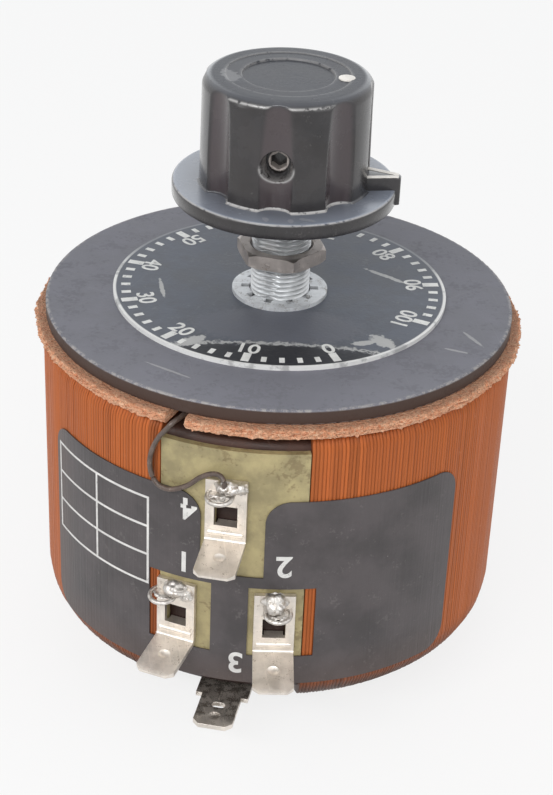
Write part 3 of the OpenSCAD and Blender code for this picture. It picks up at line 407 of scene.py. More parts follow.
class Paint:
    """Nodes of one shader tree: place is the coordinate in millimetres, base the colour built up so far."""

    def __init__(self, tree, place=None):
        self.tree, self.place = tree, place
        self.base, self.more = None, {}

    def plug(self, socket, value):
        """Feed a socket: another node's output is linked, a number or colour is set on it."""
        if isinstance(value, bpy.types.NodeSocket):
            self.tree.links.new(value, socket)
        elif socket.type == "RGBA" and len(value) == 3:
            socket.default_value = (*value, 1.0)
        else:
            socket.default_value = value

    def add(self, kind, settings=None, **sockets):
        """Add a shader node with its settings and its sockets' values."""
        made = self.tree.nodes.new("ShaderNode" + kind)
        for name, value in (settings or {}).items():
            setattr(made, name, value)
        for name, value in sockets.items():
            self.plug(made.inputs[name.replace("_", " ")], value)
        return made

    def fill(self, made, *values):
        """Feed a node's sockets in their order."""
        for socket, value in zip(made.inputs, values):
            self.plug(socket, value)
        return made.outputs

    def calc(self, kind, *values):
        """Math on numbers."""
        return self.fill(self.add("Math", {"operation": kind}), *values)[0]

    def vector(self, kind, *values):
        """Math on vectors."""
        made = self.fill(self.add("VectorMath", {"operation": kind}), *values)
        return made[1] if kind == "LENGTH" else made[0]

    def times(self, first, *others):
        """Product of values."""
        for other in others:
            first = self.calc("MULTIPLY", first, other)
        return first

    def most(self, first, *others):
        """Largest of several masks."""
        for other in others:
            first = self.calc("MAXIMUM", first, other)
        return first

    def total(self, start, *parts):
        """Start plus each mask times its share."""
        for mask, share in parts:
            start = self.calc("MULTIPLY_ADD", mask, share, start)
        return start

    def ramp(self, value, low, high, start=0.0, end=1.0):
        """Smooth step of a value between low and high, from start to end."""
        return self.add("MapRange", {"interpolation_type": "SMOOTHSTEP"}, Value=value, From_Min=low, From_Max=high,
                        To_Min=start, To_Max=end).outputs[0]

    def noise(self, scale, detail=3.0, roughness=0.55, spot=None):
        """Fractal noise on the place or another spot."""
        return self.add("TexNoise", None, Vector=spot or self.place, Scale=scale, Detail=detail,
                        Roughness=roughness).outputs[0]

    def turned(self, spot, turn):
        """Coordinates turned about the vertical."""
        return self.add("VectorRotate", {"rotation_type": "Z_AXIS"}, Vector=spot, Angle=turn).outputs[0]

    def axis(self, number):
        """One coordinate of the place."""
        return self.add("SeparateXYZ", None, Vector=self.place).outputs[number]

    def radius(self, y=0.0):
        """Distance of the place from an upright axis at x = 0."""
        return self.vector("LENGTH", self.vector("MULTIPLY_ADD", self.place, (1.0, 1.0, 0.0), (0.0, -y, 0.0)))

    def attribute(self, name):
        """Value that a piece's points carry, or 0."""
        return self.add("Attribute", {"attribute_name": name}).outputs["Fac"]

    def seen(self):
        """1 for rays that show a thing: to the camera, mirrored or through glass."""
        path = self.add("LightPath").outputs
        return self.most(*(path[f"Is {kind} Ray"] for kind in ("Camera", "Glossy", "Transmission")))

    def effect(self, name, **values):
        """Place a shared node group, which is made at its first use."""
        output, build, inputs = EFFECTS[name]
        tree = bpy.data.node_groups.get(name)
        if tree is None:
            tree = bpy.data.node_groups.new(name, "ShaderNodeTree")
            for label, kind in {"Place": "Vector", **inputs}.items():
                tree.interface.new_socket(label, in_out="INPUT", socket_type="NodeSocket" + kind)
            tree.interface.new_socket(output, in_out="OUTPUT", socket_type="NodeSocketFloat")
            given, leave = tree.nodes.new("NodeGroupInput").outputs, tree.nodes.new("NodeGroupOutput")
            tree.links.new(build(Paint(tree, given["Place"]), given), leave.inputs[output])
        return self.add("Group", {"node_tree": tree}, **{"Place": self.place, **values}).outputs[0]

    def scuffs(self, size, level):
        """Mask of worn places about size millimetres across, the more of them the lower the level."""
        return self.effect("Scuffs", Size=size, Level=level)

    def scratches(self, *rows):
        """Mask of fine scratches, for each row along a turn in degrees and over a level."""
        return self.most(*(self.effect("Scratches", Turn=math.radians(turn), Level=level) for turn, level in rows))

    def patches(self, *rows, ragged=1.6):
        """Mask of ragged patches, for each row a centre, a reach and a turn, in millimetres and degrees."""
        return self.most(*(self.effect("Patch", Centre=centre, Reach=reach, Turn=math.radians(turn), Ragged=ragged)
                           for centre, reach, turn in rows))

    def clouds(self, size, **spot):
        """Uneven tone from 0 to 1, with features about size millimetres across."""
        return self.effect("Clouds", Size=size, **spot)

    def mix(self, share, first, second):
        """Colour between two colours."""
        made = self.add("Mix", {"data_type": "RGBA"})
        for index, value in ((0, share), (6, first), (7, second)):
            self.plug(made.inputs[index], value)
        return made.outputs[2]

    def tones(self, mask, tint, low, high):
        """Begin the base colour: between two factors of a tint."""
        self.base = self.mix(mask, toned(tint, low), toned(tint, high))

    def cover(self, mask, tint, share=None):
        """Lay a colour over the base where a mask is, or by a share of the mask."""
        self.base = self.mix(mask if share is None else self.times(mask, share), self.base, tint)


def build_scuffs(paint, given):
    """Worn places: a broad and a fine noise added, and what rises over a level."""
    scale = paint.calc("DIVIDE", 1.0, given["Size"])
    broad, fine = paint.noise(scale, 4.0, 0.6), paint.noise(paint.times(scale, 7.0), 2.0)
    both = paint.total(paint.times(broad, 0.6), (fine, 0.4))
    return paint.ramp(paint.calc("SUBTRACT", both, given["Level"]), -0.03, 0.05)


def build_scratches(paint, given):
    """Long fine marks: noise stretched along a turned direction, cut off high."""
    drawn = paint.vector("MULTIPLY", paint.turned(paint.place, given["Turn"]), (0.05, 2.6, 0.7))
    return paint.ramp(paint.calc("SUBTRACT", paint.noise(1.0, 2.0, spot=drawn), given["Level"]), 0.0, 0.06)


def build_patch(paint, given):
    """Ragged patch: distance from a centre in units of its reach, with noise, cut off at one."""
    offset = paint.turned(paint.vector("SUBTRACT", paint.place, given["Centre"]), given["Turn"])
    distance = paint.vector("LENGTH", paint.vector("DIVIDE", offset, given["Reach"]))
    ragged = paint.times(paint.calc("SUBTRACT", paint.noise(1.1, 5.0, 0.65), 0.5), given["Ragged"])
    return paint.ramp(paint.calc("ADD", distance, ragged), 0.78, 1.0, 1.0, 0.0)


def build_clouds(paint, given):
    """Uneven tone: fractal noise of a size, drawn out to the full range."""
    return paint.ramp(paint.noise(paint.calc("DIVIDE", 1.0, given["Size"]), 5.0, 0.6), 0.3, 0.7)


# For each shared node group its output, what builds it, and its inputs beside the place
EFFECTS = {
    "Scuffs": ("Mask", build_scuffs, {"Size": "Float", "Level": "Float"}),
    "Scratches": ("Mask", build_scratches, {"Turn": "Float", "Level": "Float"}),
    "Patch": ("Mask", build_patch, {"Centre": "Vector", "Reach": "Vector", "Turn": "Float", "Ragged": "Float"}),
    "Clouds": ("Value", build_clouds, {"Size": "Float"}),
}


def shade(name, lay, **constants):
    """Material made once. lay builds the base colour on a Paint and gives roughness, height and its depth in
    millimetres; constants set plain sockets."""
    material = bpy.data.materials.get(name)
    if material:
        return material
    material = bpy.data.materials.new(name)
    material.use_nodes = True
    paint = Paint(material.node_tree)
    paint.place = paint.add("VectorMath", {"operation": "SCALE"}, Vector=paint.add("TexCoord").outputs["Object"],
                            Scale=1 / MM).outputs[0]
    roughness, height, depth = lay(paint)
    bump = paint.add("Bump", None, Height=height, Distance=depth * MM)
    values = {"Base Color": paint.base, "Roughness": roughness, "Normal": bump.outputs[0], **paint.more, **constants}
    for label, value in values.items():
        paint.plug(material.node_tree.nodes["Principled BSDF"].inputs[label.replace("_", " ")], value)
    return material


def metal(name, tint, rough, tarnish=(0.2, 0.17, 0.14), wear=0.56, metallic=1.0):
    """Bare or plated metal: cloudy tone, tarnished spots, fine scratches, painted shade in a piece's grooves."""
    def lay(paint):
        cloud, spots, marks = paint.clouds(2.6), paint.scuffs(1.7, wear), paint.scratches((0.0, 0.6))
        paint.tones(cloud, tint, 0.78, 1.0)
        paint.cover(spots, tarnish, 0.55)
        paint.cover(marks, toned(tint, 1.25), 0.3)
        # Painted shade in the grooves a piece marks
        paint.cover(paint.attribute("groove"), toned(tarnish, 0.3))
        height = paint.total(paint.noise(3.0, 5.0), (marks, 0.5))
        return paint.total(rough, (spots, 0.2), (cloud, 0.16)), height, 0.03
    return shade(name, lay, Metallic=metallic)


def tin_finish(looks):
    """Tinned brass: cloudy, grimy in spots, with fine rolling marks, and darker in patches where the low tab begins.
    """
    def lay(paint):
        cloud, grime, marks = paint.clouds(2.2), paint.scuffs(1.5, 0.6), paint.scratches((80.0, 0.6))
        paint.tones(cloud, looks.tin_colour, 0.8, 1.0)
        paint.cover(grime, (0.28, 0.22, 0.16), 0.5)
        paint.cover(marks, toned(looks.tin_colour, 1.2), 0.3)
        foot = paint.ramp(paint.axis(2), 9.0, 10.5, 1.0, 0.0)
        root = paint.ramp(paint.radius(), 41.0, 43.5, 1.0, 0.0)
        paint.cover(paint.times(foot, root, paint.scuffs(1.3, 0.5)), (0.16, 0.13, 0.1), 0.75)
        height = paint.total(paint.noise(3.0, 5.0), (marks, 0.4))
        return paint.total(0.34, (grime, 0.2), (cloud, 0.14)), height, 0.02
    return shade("Tinned brass", lay, Metallic=0.85)


def moulding(name, tint, rough, pale=(0.3, 0.27, 0.23), shade_height=0.0):
    """Moulded or pressed insulation: cloudy, scuffed pale, painted dark as shade below a given height."""
    def lay(paint):
        cloud, worn = paint.clouds(5.0), paint.scuffs(3.0, 0.6)
        paint.tones(cloud, tint, 0.65, 1.2)
        paint.cover(worn, pale, 0.3)
        # Painted shade: dark below a given height
        paint.cover(paint.ramp(paint.axis(2), shade_height - 3.0, shade_height, 1.0, 0.0), (0.02, 0.007, 0.005))
        return paint.total(rough, (worn, 0.15), (cloud, 0.15)), paint.noise(4.0, 4.0), 0.04
    return shade(name, lay, Specular_IOR_Level=0.3)


def wire_finish(looks):
    """Enamelled copper: a tone for each turn, painted shade in the grooves, and darker over the lower rounding, most
    at the front.
    """
    def lay(paint):
        tint = looks.wire_colour
        cloud = paint.clouds(5.0, Place=paint.vector("MULTIPLY", paint.place, (1.0, 1.0, 0.16)))
        paint.tones(paint.attribute("tone"), tint, 0.45, 1.0)
        paint.cover(cloud, (tint[0] * 1.15, tint[1] * 1.3, tint[2] * 1.4), 0.3)
        # Painted shade in the grooves between turns
        paint.cover(paint.attribute("groove"), toned(tint, 0.2), 0.5)
        paint.cover(paint.scuffs(2.5, 0.66), (0.62, 0.33, 0.2), 0.3)
        # Darker towards the bottom, most at the front
        front = paint.ramp(paint.axis(1), -32.0, -8.0, 0.92, 0.35)
        low = paint.ramp(paint.axis(2), 9.0, 15.5, 1.0, 0.0)
        paint.cover(paint.times(low, front), (0.03, 0.014, 0.009))
        return paint.total(0.36, (cloud, 0.2)), paint.noise(2.5, 4.0), 0.03
    return shade("Enamelled copper", lay, Metallic=0.15, Specular_IOR_Level=0.28)


def cork_finish(looks):
    """Pressed cork: bright and dull cells, dark pits, a granular face, shaded close under the plate."""
    def lay(paint):
        tint, under = looks.cork_colour, CORK_HIGH[2] / MM
        cells = paint.add("TexVoronoi", None, Vector=paint.place, Scale=2.4, Randomness=1.0).outputs
        cell = paint.add("SeparateColor", None, Color=cells["Color"]).outputs[0]
        paint.base = paint.mix(cell, toned(tint, 0.95), (1.0, tint[1] * 1.5, tint[2] * 1.8))
        paint.cover(paint.clouds(5.0), (0.72, 0.32, 0.15), 0.2)
        paint.cover(paint.scuffs(0.5, 0.58), (0.2, 0.07, 0.03), 0.6)
        paint.cover(paint.ramp(paint.axis(2), under - 0.45, under - 0.1, 0.0, 0.5), (0.16, 0.055, 0.025))
        height = paint.total(cells["Distance"], (paint.noise(3.0, 6.0, 0.7), 1.2))
        return paint.ramp(cell, 0.0, 1.0, 0.62, 0.9), height, 0.4
    return shade("Pressed cork", lay)


def plate_finish(looks):
    """Dark phenolic sheet: a painted sheen at the front, faint scuffs on top, pale chips at the rim, a brown cut
    edge.
    """
    def lay(paint):
        tint, edge, top = looks.plate_colour, PLATE_R / MM, PLATE_TOP / MM
        r, cloud, worn = paint.radius(), paint.clouds(6.0), paint.scuffs(4.0, 0.55)
        marks = paint.scratches((25.0, 0.66), (-40.0, 0.67), (80.0, 0.68))
        paint.tones(cloud, tint, 0.9, 1.14)
        # Painted sheen: the sheet is lighter towards its front edge
        paint.cover(paint.ramp(paint.axis(1), -38.0, -16.0, 0.6, 0.0), toned(tint, 1.45))
        paint.cover(worn, (0.09, 0.085, 0.095), 0.16)
        paint.cover(marks, (0.3, 0.3, 0.3), 0.1)
        paint.cover(paint.scuffs(0.9, 0.68), (0.42, 0.41, 0.4), 0.5)
        smears = paint.patches(((30.5, -13.0, 62.0), (3.2, 0.34, 9.0), 60.0),
                               ((27.6, -17.0, 62.0), (2.2, 0.3, 9.0), 20.0), ragged=1.2)
        scrape = paint.patches(((-16.0, -27.0, 62.0), (4.4, 0.26, 9.0), 32.0), ragged=1.0)
        paint.cover(paint.most(smears, scrape), (0.5, 0.5, 0.49), 0.45)
        chips = paint.times(paint.ramp(r, edge - 0.7, edge - 0.15), paint.scuffs(1.1, 0.5))
        paint.cover(chips, (0.5, 0.47, 0.44), 0.6)
        below = paint.ramp(paint.axis(2), top - 0.35, top - 0.1, 1.0, 0.0)
        paint.cover(paint.times(paint.ramp(r, edge - 0.2, edge - 0.04), below), (0.06, 0.036, 0.028))
        height = paint.total(paint.noise(1.8, 6.0, 0.6), (marks, -0.1))
        return paint.total(0.5, (cloud, 0.12), (worn, 0.12)), height, 0.04
    return shade("Phenolic sheet", lay, Specular_IOR_Level=0.35)


def dial_finish(looks):
    """Black enamel dial: greyed, clean and dark at the front behind a scraped line, worn white along its rim."""
    def lay(paint):
        edge, cloud = DIAL_R / MM, paint.clouds(5.0)
        marks = paint.scratches((15.0, 0.64), (-65.0, 0.65))
        worn = paint.total(paint.times(paint.scuffs(2.6, 0.6), 0.18), (marks, 0.1))
        paint.tones(cloud, looks.dial_colour, 0.75, 1.25)
        paint.cover(worn, (0.3, 0.3, 0.31))
        # Painted sheen: a lighter patch in the middle of the dial, towards the front
        dial_sheen = paint.patches(((0.0, -12.5, 62.6), (15.0, 6.5, 9.0), 0.0), ragged=0.8)
        paint.cover(dial_sheen, (0.125, 0.13, 0.155), 0.6)
        field = paint.patches(((-0.5, -27.0, 62.6), (30.0, 9.6, 9.0), 0.0), ragged=0.35)
        paint.cover(field, (0.018, 0.019, 0.024))
        border = paint.times(paint.ramp(field, 0.0, 0.4), paint.ramp(field, 0.4, 0.8, 1.0, 0.0))
        bare = paint.patches(((-13.2, -18.6, 62.6), (3.0, 1.3, 9.0), -38.0),
                             ((16.2, -16.2, 62.6), (2.8, 1.5, 9.0), 50.0),
                             ((13.4, -16.9, 62.6), (2.4, 0.8, 9.0), -20.0),
                             ((17.6, 6.6, 62.6), (5.0, 0.5, 9.0), 36.0),
                             ((-19.0, -1.0, 62.6), (3.4, 0.4, 9.0), 80.0))
        paint.cover(paint.most(bare, border), (0.56, 0.56, 0.55), 0.75)
        rim = paint.ramp(paint.radius(DIAL_Y / MM), edge - 0.6, edge - 0.35)
        front = paint.ramp(paint.axis(1), 4.0, 16.0, 1.0, 0.2)
        paint.cover(paint.times(rim, front, paint.ramp(cloud, 0.1, 0.35, 0.6, 1.0)), (0.8, 0.8, 0.79))
        return paint.total(0.42, (cloud, 0.12), (worn, 0.3)), paint.noise(2.0, 5.0), 0.04
    return shade("Dial enamel", lay, Specular_IOR_Level=0.35)


def print_finish(name, tint, level):
    """White ink: uneven and rubbed away in specks, the more of them the lower the level."""
    def lay(paint):
        thin = paint.scuffs(1.0, level)
        paint.tones(paint.clouds(3.0), tint, 0.8, 1.0)
        paint.cover(thin, (0.16, 0.16, 0.165), 0.7)
        return paint.ramp(thin, 0.0, 1.0, 0.5, 0.7), paint.noise(5.0, 3.0), 0.02
    return shade(name, lay)


def knob_finish(looks):
    """Black moulding: painted sheen on upward faces and browner flutes, pale painted highlights, glossy but for the
    sunk top.
    """
    def lay(paint):
        top, skirt = KNOB_TOP / MM, KNOB_TOP / MM - 17.3
        cloud, dust = paint.clouds(6.0), paint.scuffs(2.4, 0.64)
        paint.tones(cloud, looks.knob_colour, 0.7, 1.4)
        paint.cover(dust, (0.3, 0.28, 0.27), 0.12)
        # Bluish sheen painted on the knob's upward faces, standing in for light from above
        paint.cover(paint.attribute("upward_sheen"), (0.32, 0.36, 0.44))
        # Painted light: the flutes are lighter and browner than the crests
        paint.cover(paint.attribute("hollow"), (0.08, 0.06, 0.066), 0.6)
        # Pale lines painted as highlights, carried in the wear attribute and broken by noise
        painted_highlights = paint.times(paint.attribute("wear"), paint.ramp(paint.noise(0.9, 5.0, 0.65), 0.36, 0.48))
        paint.cover(painted_highlights, (0.66, 0.65, 0.64), 0.8)
        smears = paint.patches(((-8.8, -1.6, top), (2.9, 1.5, 4.0), 75.0),
                               ((-2.6, -15.6, skirt), (1.0, 0.5, 2.0), 70.0),
                               ((1.2, -15.9, skirt), (0.8, 0.45, 2.0), 80.0),
                               ((3.6, -15.2, skirt), (1.3, 0.5, 2.0), 14.0))
        paint.cover(smears, (0.42, 0.42, 0.43), 0.35)
        paint.cover(paint.clouds(9.0), (0.06, 0.043, 0.034), 0.15)
        paint.more["Coat Weight"] = paint.most(paint.ramp(paint.axis(2), top - 1.4, top - 1.0, 0.95, 0.0),
                                               paint.ramp(paint.radius(), 11.5, 12.2, 0.0, 0.95))
        return paint.total(0.2, (cloud, 0.12), (dust, 0.2)), paint.noise(1.6, 5.0), 0.03
    return shade("Black moulding", lay, Specular_IOR_Level=0.12, Coat_Roughness=0.22)


def board_finish(looks):
    """Olive fibre sheet: laminated mottle, brown varnish stains and pale specks."""
    def lay(paint):
        cloud = paint.clouds(4.0)
        paint.tones(cloud, looks.board_colour, 0.72, 1.18)
        paint.cover(paint.scuffs(5.0, 0.57), (0.15, 0.1, 0.045), 0.5)
        paint.cover(paint.scuffs(0.8, 0.66), (0.6, 0.56, 0.42), 0.5)
        return paint.ramp(cloud, 0.0, 1.0, 0.42, 0.62), paint.noise(3.0, 5.0), 0.05
    return shade("Fibre sheet", lay)


def label_finish(looks):
    """Dark wrap: faint ridges of the turns beneath it, greyed and rubbed, browned at its ends and its foot."""
    def lay(paint):
        cloud, worn = paint.clouds(8.0), paint.scuffs(3.0, 0.61)
        ridges = paint.noise(1.0, 2.0, spot=paint.vector("MULTIPLY", paint.place, (2.0, 2.0, 0.04)))
        paint.tones(cloud, looks.label_colour, 0.75, 1.35)
        paint.cover(worn, (0.3, 0.28, 0.27), 0.18)
        ends, foot = paint.ramp(paint.axis(1), -24.0, -15.0), paint.ramp(paint.axis(2), 12.0, 20.0, 0.6, 0.0)
        paint.cover(paint.most(ends, foot), (0.1, 0.06, 0.045), 0.55)
        paint.cover(paint.scuffs(0.9, 0.68), (0.5, 0.48, 0.46), 0.5)
        height = paint.total(ridges, (paint.noise(2.0, 5.0), 0.4))
        return paint.total(0.38, (cloud, 0.12), (worn, 0.15)), height, 0.08
    return shade("Dark wrap", lay)


def lead_finish(looks):
    """Varnished lead: dark brown with pale crazed places."""
    def lay(paint):
        worn = paint.scuffs(0.9, 0.58)
        paint.tones(paint.clouds(1.6), looks.lead_colour, 1.0, 2.2)
        paint.cover(worn, (0.34, 0.27, 0.22), 0.5)
        return paint.ramp(worn, 0.0, 1.0, 0.35, 0.6), paint.noise(3.0, 4.0), 0.05
    return shade("Varnished lead", lay)


def solder_finish():
    """Solder: bright and lumpy, with dull flux-stained hollows."""
    def lay(paint):
        cloud, flux = paint.clouds(1.1), paint.scuffs(1.2, 0.58)
        paint.base = paint.mix(cloud, (0.46, 0.43, 0.4), (0.72, 0.7, 0.67))
        paint.cover(flux, (0.3, 0.22, 0.14), 0.6)
        return paint.total(0.34, (cloud, 0.15), (flux, 0.25)), paint.noise(1.3, 5.0), 0.2
    return shade("Solder", lay, Metallic=1.0)


def floor_finish(tint):
    """Pale floor: seen by the camera and in reflections it is near white, and it keeps the object's shadow."""
    material = bpy.data.materials.new("Pale floor")
    material.use_nodes = True
    tree = material.node_tree
    shader, paint = tree.nodes["Principled BSDF"], Paint(tree)
    mottle = paint.noise(30.0, 4.0, spot=paint.add("TexCoord").outputs["Object"])
    paint.tones(mottle, tint, 0.98, 1.0)
    for label, value in (("Base Color", paint.base), ("Roughness", 0.9), ("Specular IOR Level", 0.0)):
        paint.plug(shader.inputs[label], value)
    glow = paint.add("Emission", None, Color=(1.0, 1.0, 1.0), Strength=1.0)
    mixed = paint.fill(paint.add("MixShader"), paint.times(paint.seen(), 0.8), shader.outputs[0], glow.outputs[0])
    tree.links.new(mixed[0], tree.nodes["Material Output"].inputs["Surface"])
    return material


# Operators

class WindCoil(bpy.types.Operator):
    """Wind the single layer of wire round the core"""
    bl_idname = "autotransformer.wind_coil"
    bl_label = "Winding"

    def execute(self, context):
        looks = context.scene.coil_looks
        first, last = 8.9, 333.9
        turns = round(math.radians(last - first) * COIL_R / looks.wire_pitch)
        shares = np.array([-0.5, -0.36, -0.12, 0.12, 0.36])
        number = np.append(np.repeat(np.arange(turns), len(shares)), turns - 1)
        across = np.append(np.tile(shares, turns), 0.5)
        azimuth = first + (last - first) * (number + 0.5 + across) / turns

        # The section is drawn once outside the wire and once inside it, with as many points
        outer = box_outline((15.5 * MM, COIL_LOW[2]), (COIL_R, COIL_HIGH[2]),
                            np.array([4.0, 7.4, 3.0, 4.0]) * MM, 6, 5)
        inner = box_outline((17.9 * MM, 8.0 * MM), (36.9 * MM, 56.2 * MM),
                            np.array([2.0, 6.0, 2.0, 2.0]) * MM, 6, 5)
        # A turn is a round ridge: it falls from its crest by 1 - sqrt(1 - (1.94 t)^2) of the groove's depth
        ridge = 1.0 - np.sqrt(np.clip(1.0 - (1.94 * across) ** 2, 0.0, 1.0))
        rise = np.random.default_rng(3).uniform(-0.05, 0.03, turns)[number] * MM
        sink = -looks.wire_groove * ridge + np.minimum(rise, 0.0)
        profile = outer[:, None] + outward(outer)[:, None] * sink[None, :, None]
        along = np.arange(len(outer))[:, None] / 6.0
        stray = grain(along, number / 5.0, 11) + 0.5 * grain(2.0 * along, number, 12)
        stray = stray * np.degrees(looks.wire_wander / COIL_R) * step(0.0, 4.0, azimuth - first)
        grid = ring_points(azimuth + stray * step(0.0, 4.0, last - azimuth), profile[..., 0], profile[..., 1])
        back = np.linspace(last, first, 60)
        grid = np.concatenate([grid, ring_points(back, inner[:, :1], inner[:, 1:])], axis=1)

        # Each turn has its own tone, and those beside the gap differ more
        beside = np.maximum(step(16.0, 2.0, azimuth - first), step(14.0, 2.0, last - azimuth))
        tone = np.random.default_rng(5).normal(0.0, 1.0, turns)[number] * (0.1 + 0.17 * beside)
        dark = np.random.default_rng(6).uniform(0, 1, turns)[number] < 0.02 + 0.12 * beside
        tone = np.concatenate([np.clip(0.72 + tone - 0.45 * dark, 0, 1), np.full(len(back), 0.4)])
        # How deep a point lies between two turns, where the finish paints shade
        groove = np.concatenate([np.abs(2.0 * across) ** 4, np.zeros(len(back))])
        rows = np.ones((len(outer), 1))
        piece = surface("winding_turns", grid, wrap_rows=True,
                        values={"tone": rows * tone, "groove": rows * groove})
        dress(piece, "stator", wire_finish(looks), ("winding",))
        return {"FINISHED"}


class LayCork(bpy.types.Operator):
    """Lay the rough cork ring between the coil and the base plate"""
    bl_idname = "autotransformer.lay_cork"
    bl_label = "Cork ring"

    def execute(self, context):
        looks = context.scene.coil_looks
        r, half = CORK_HIGH[0], (CORK_HIGH[2] - CORK_LOW[2]) / 2
        width, notch, notch_half = 8.5 * MM, -21.8, math.degrees(1.6 * MM / r)
        azimuth = np.linspace(notch + notch_half, notch + 360.0 - notch_half, 1300)
        sharp, blunt = 0.1 * MM, 0.97 * half
        outline = box_outline((r - width, CORK_LOW[2]), (r, CORK_HIGH[2]), (sharp, blunt, blunt, sharp), 14, 2)
        facing = outward(outline)
        # The outer round is pushed along its normal by noise of four sizes, and the flats stay
        bulge = step(-0.1, 0.7, facing[:, :1])
        along, up = azimuth * math.radians(1.0) * r / MM, np.arange(len(outline))[:, None]
        lump = (0.8 * grain(along / 0.9, up / 3.4, 21) + 0.75 * grain(along / 0.45, up / 1.7, 22)
                + 0.6 * grain(along / 4.0, up / 30.0, 23) - 1.1)
        crumb = np.maximum(grain(along / 0.6, up / 2.0, 24) - 0.35, 0.0)
        push = bulge * (lump + 1.2 * crumb) * looks.cork_grain
        profile = outline[:, None] + facing[:, None] * push[..., None]
        grid = with_ends(ring_points(azimuth, profile[..., 0], profile[..., 1]))
        piece = surface("cork_cushion", grid, wrap_rows=True, wrap_columns=False, crease=60.0)
        dress(piece, "stator", cork_finish(looks), ("cork_ring",))
        return {"FINISHED"}


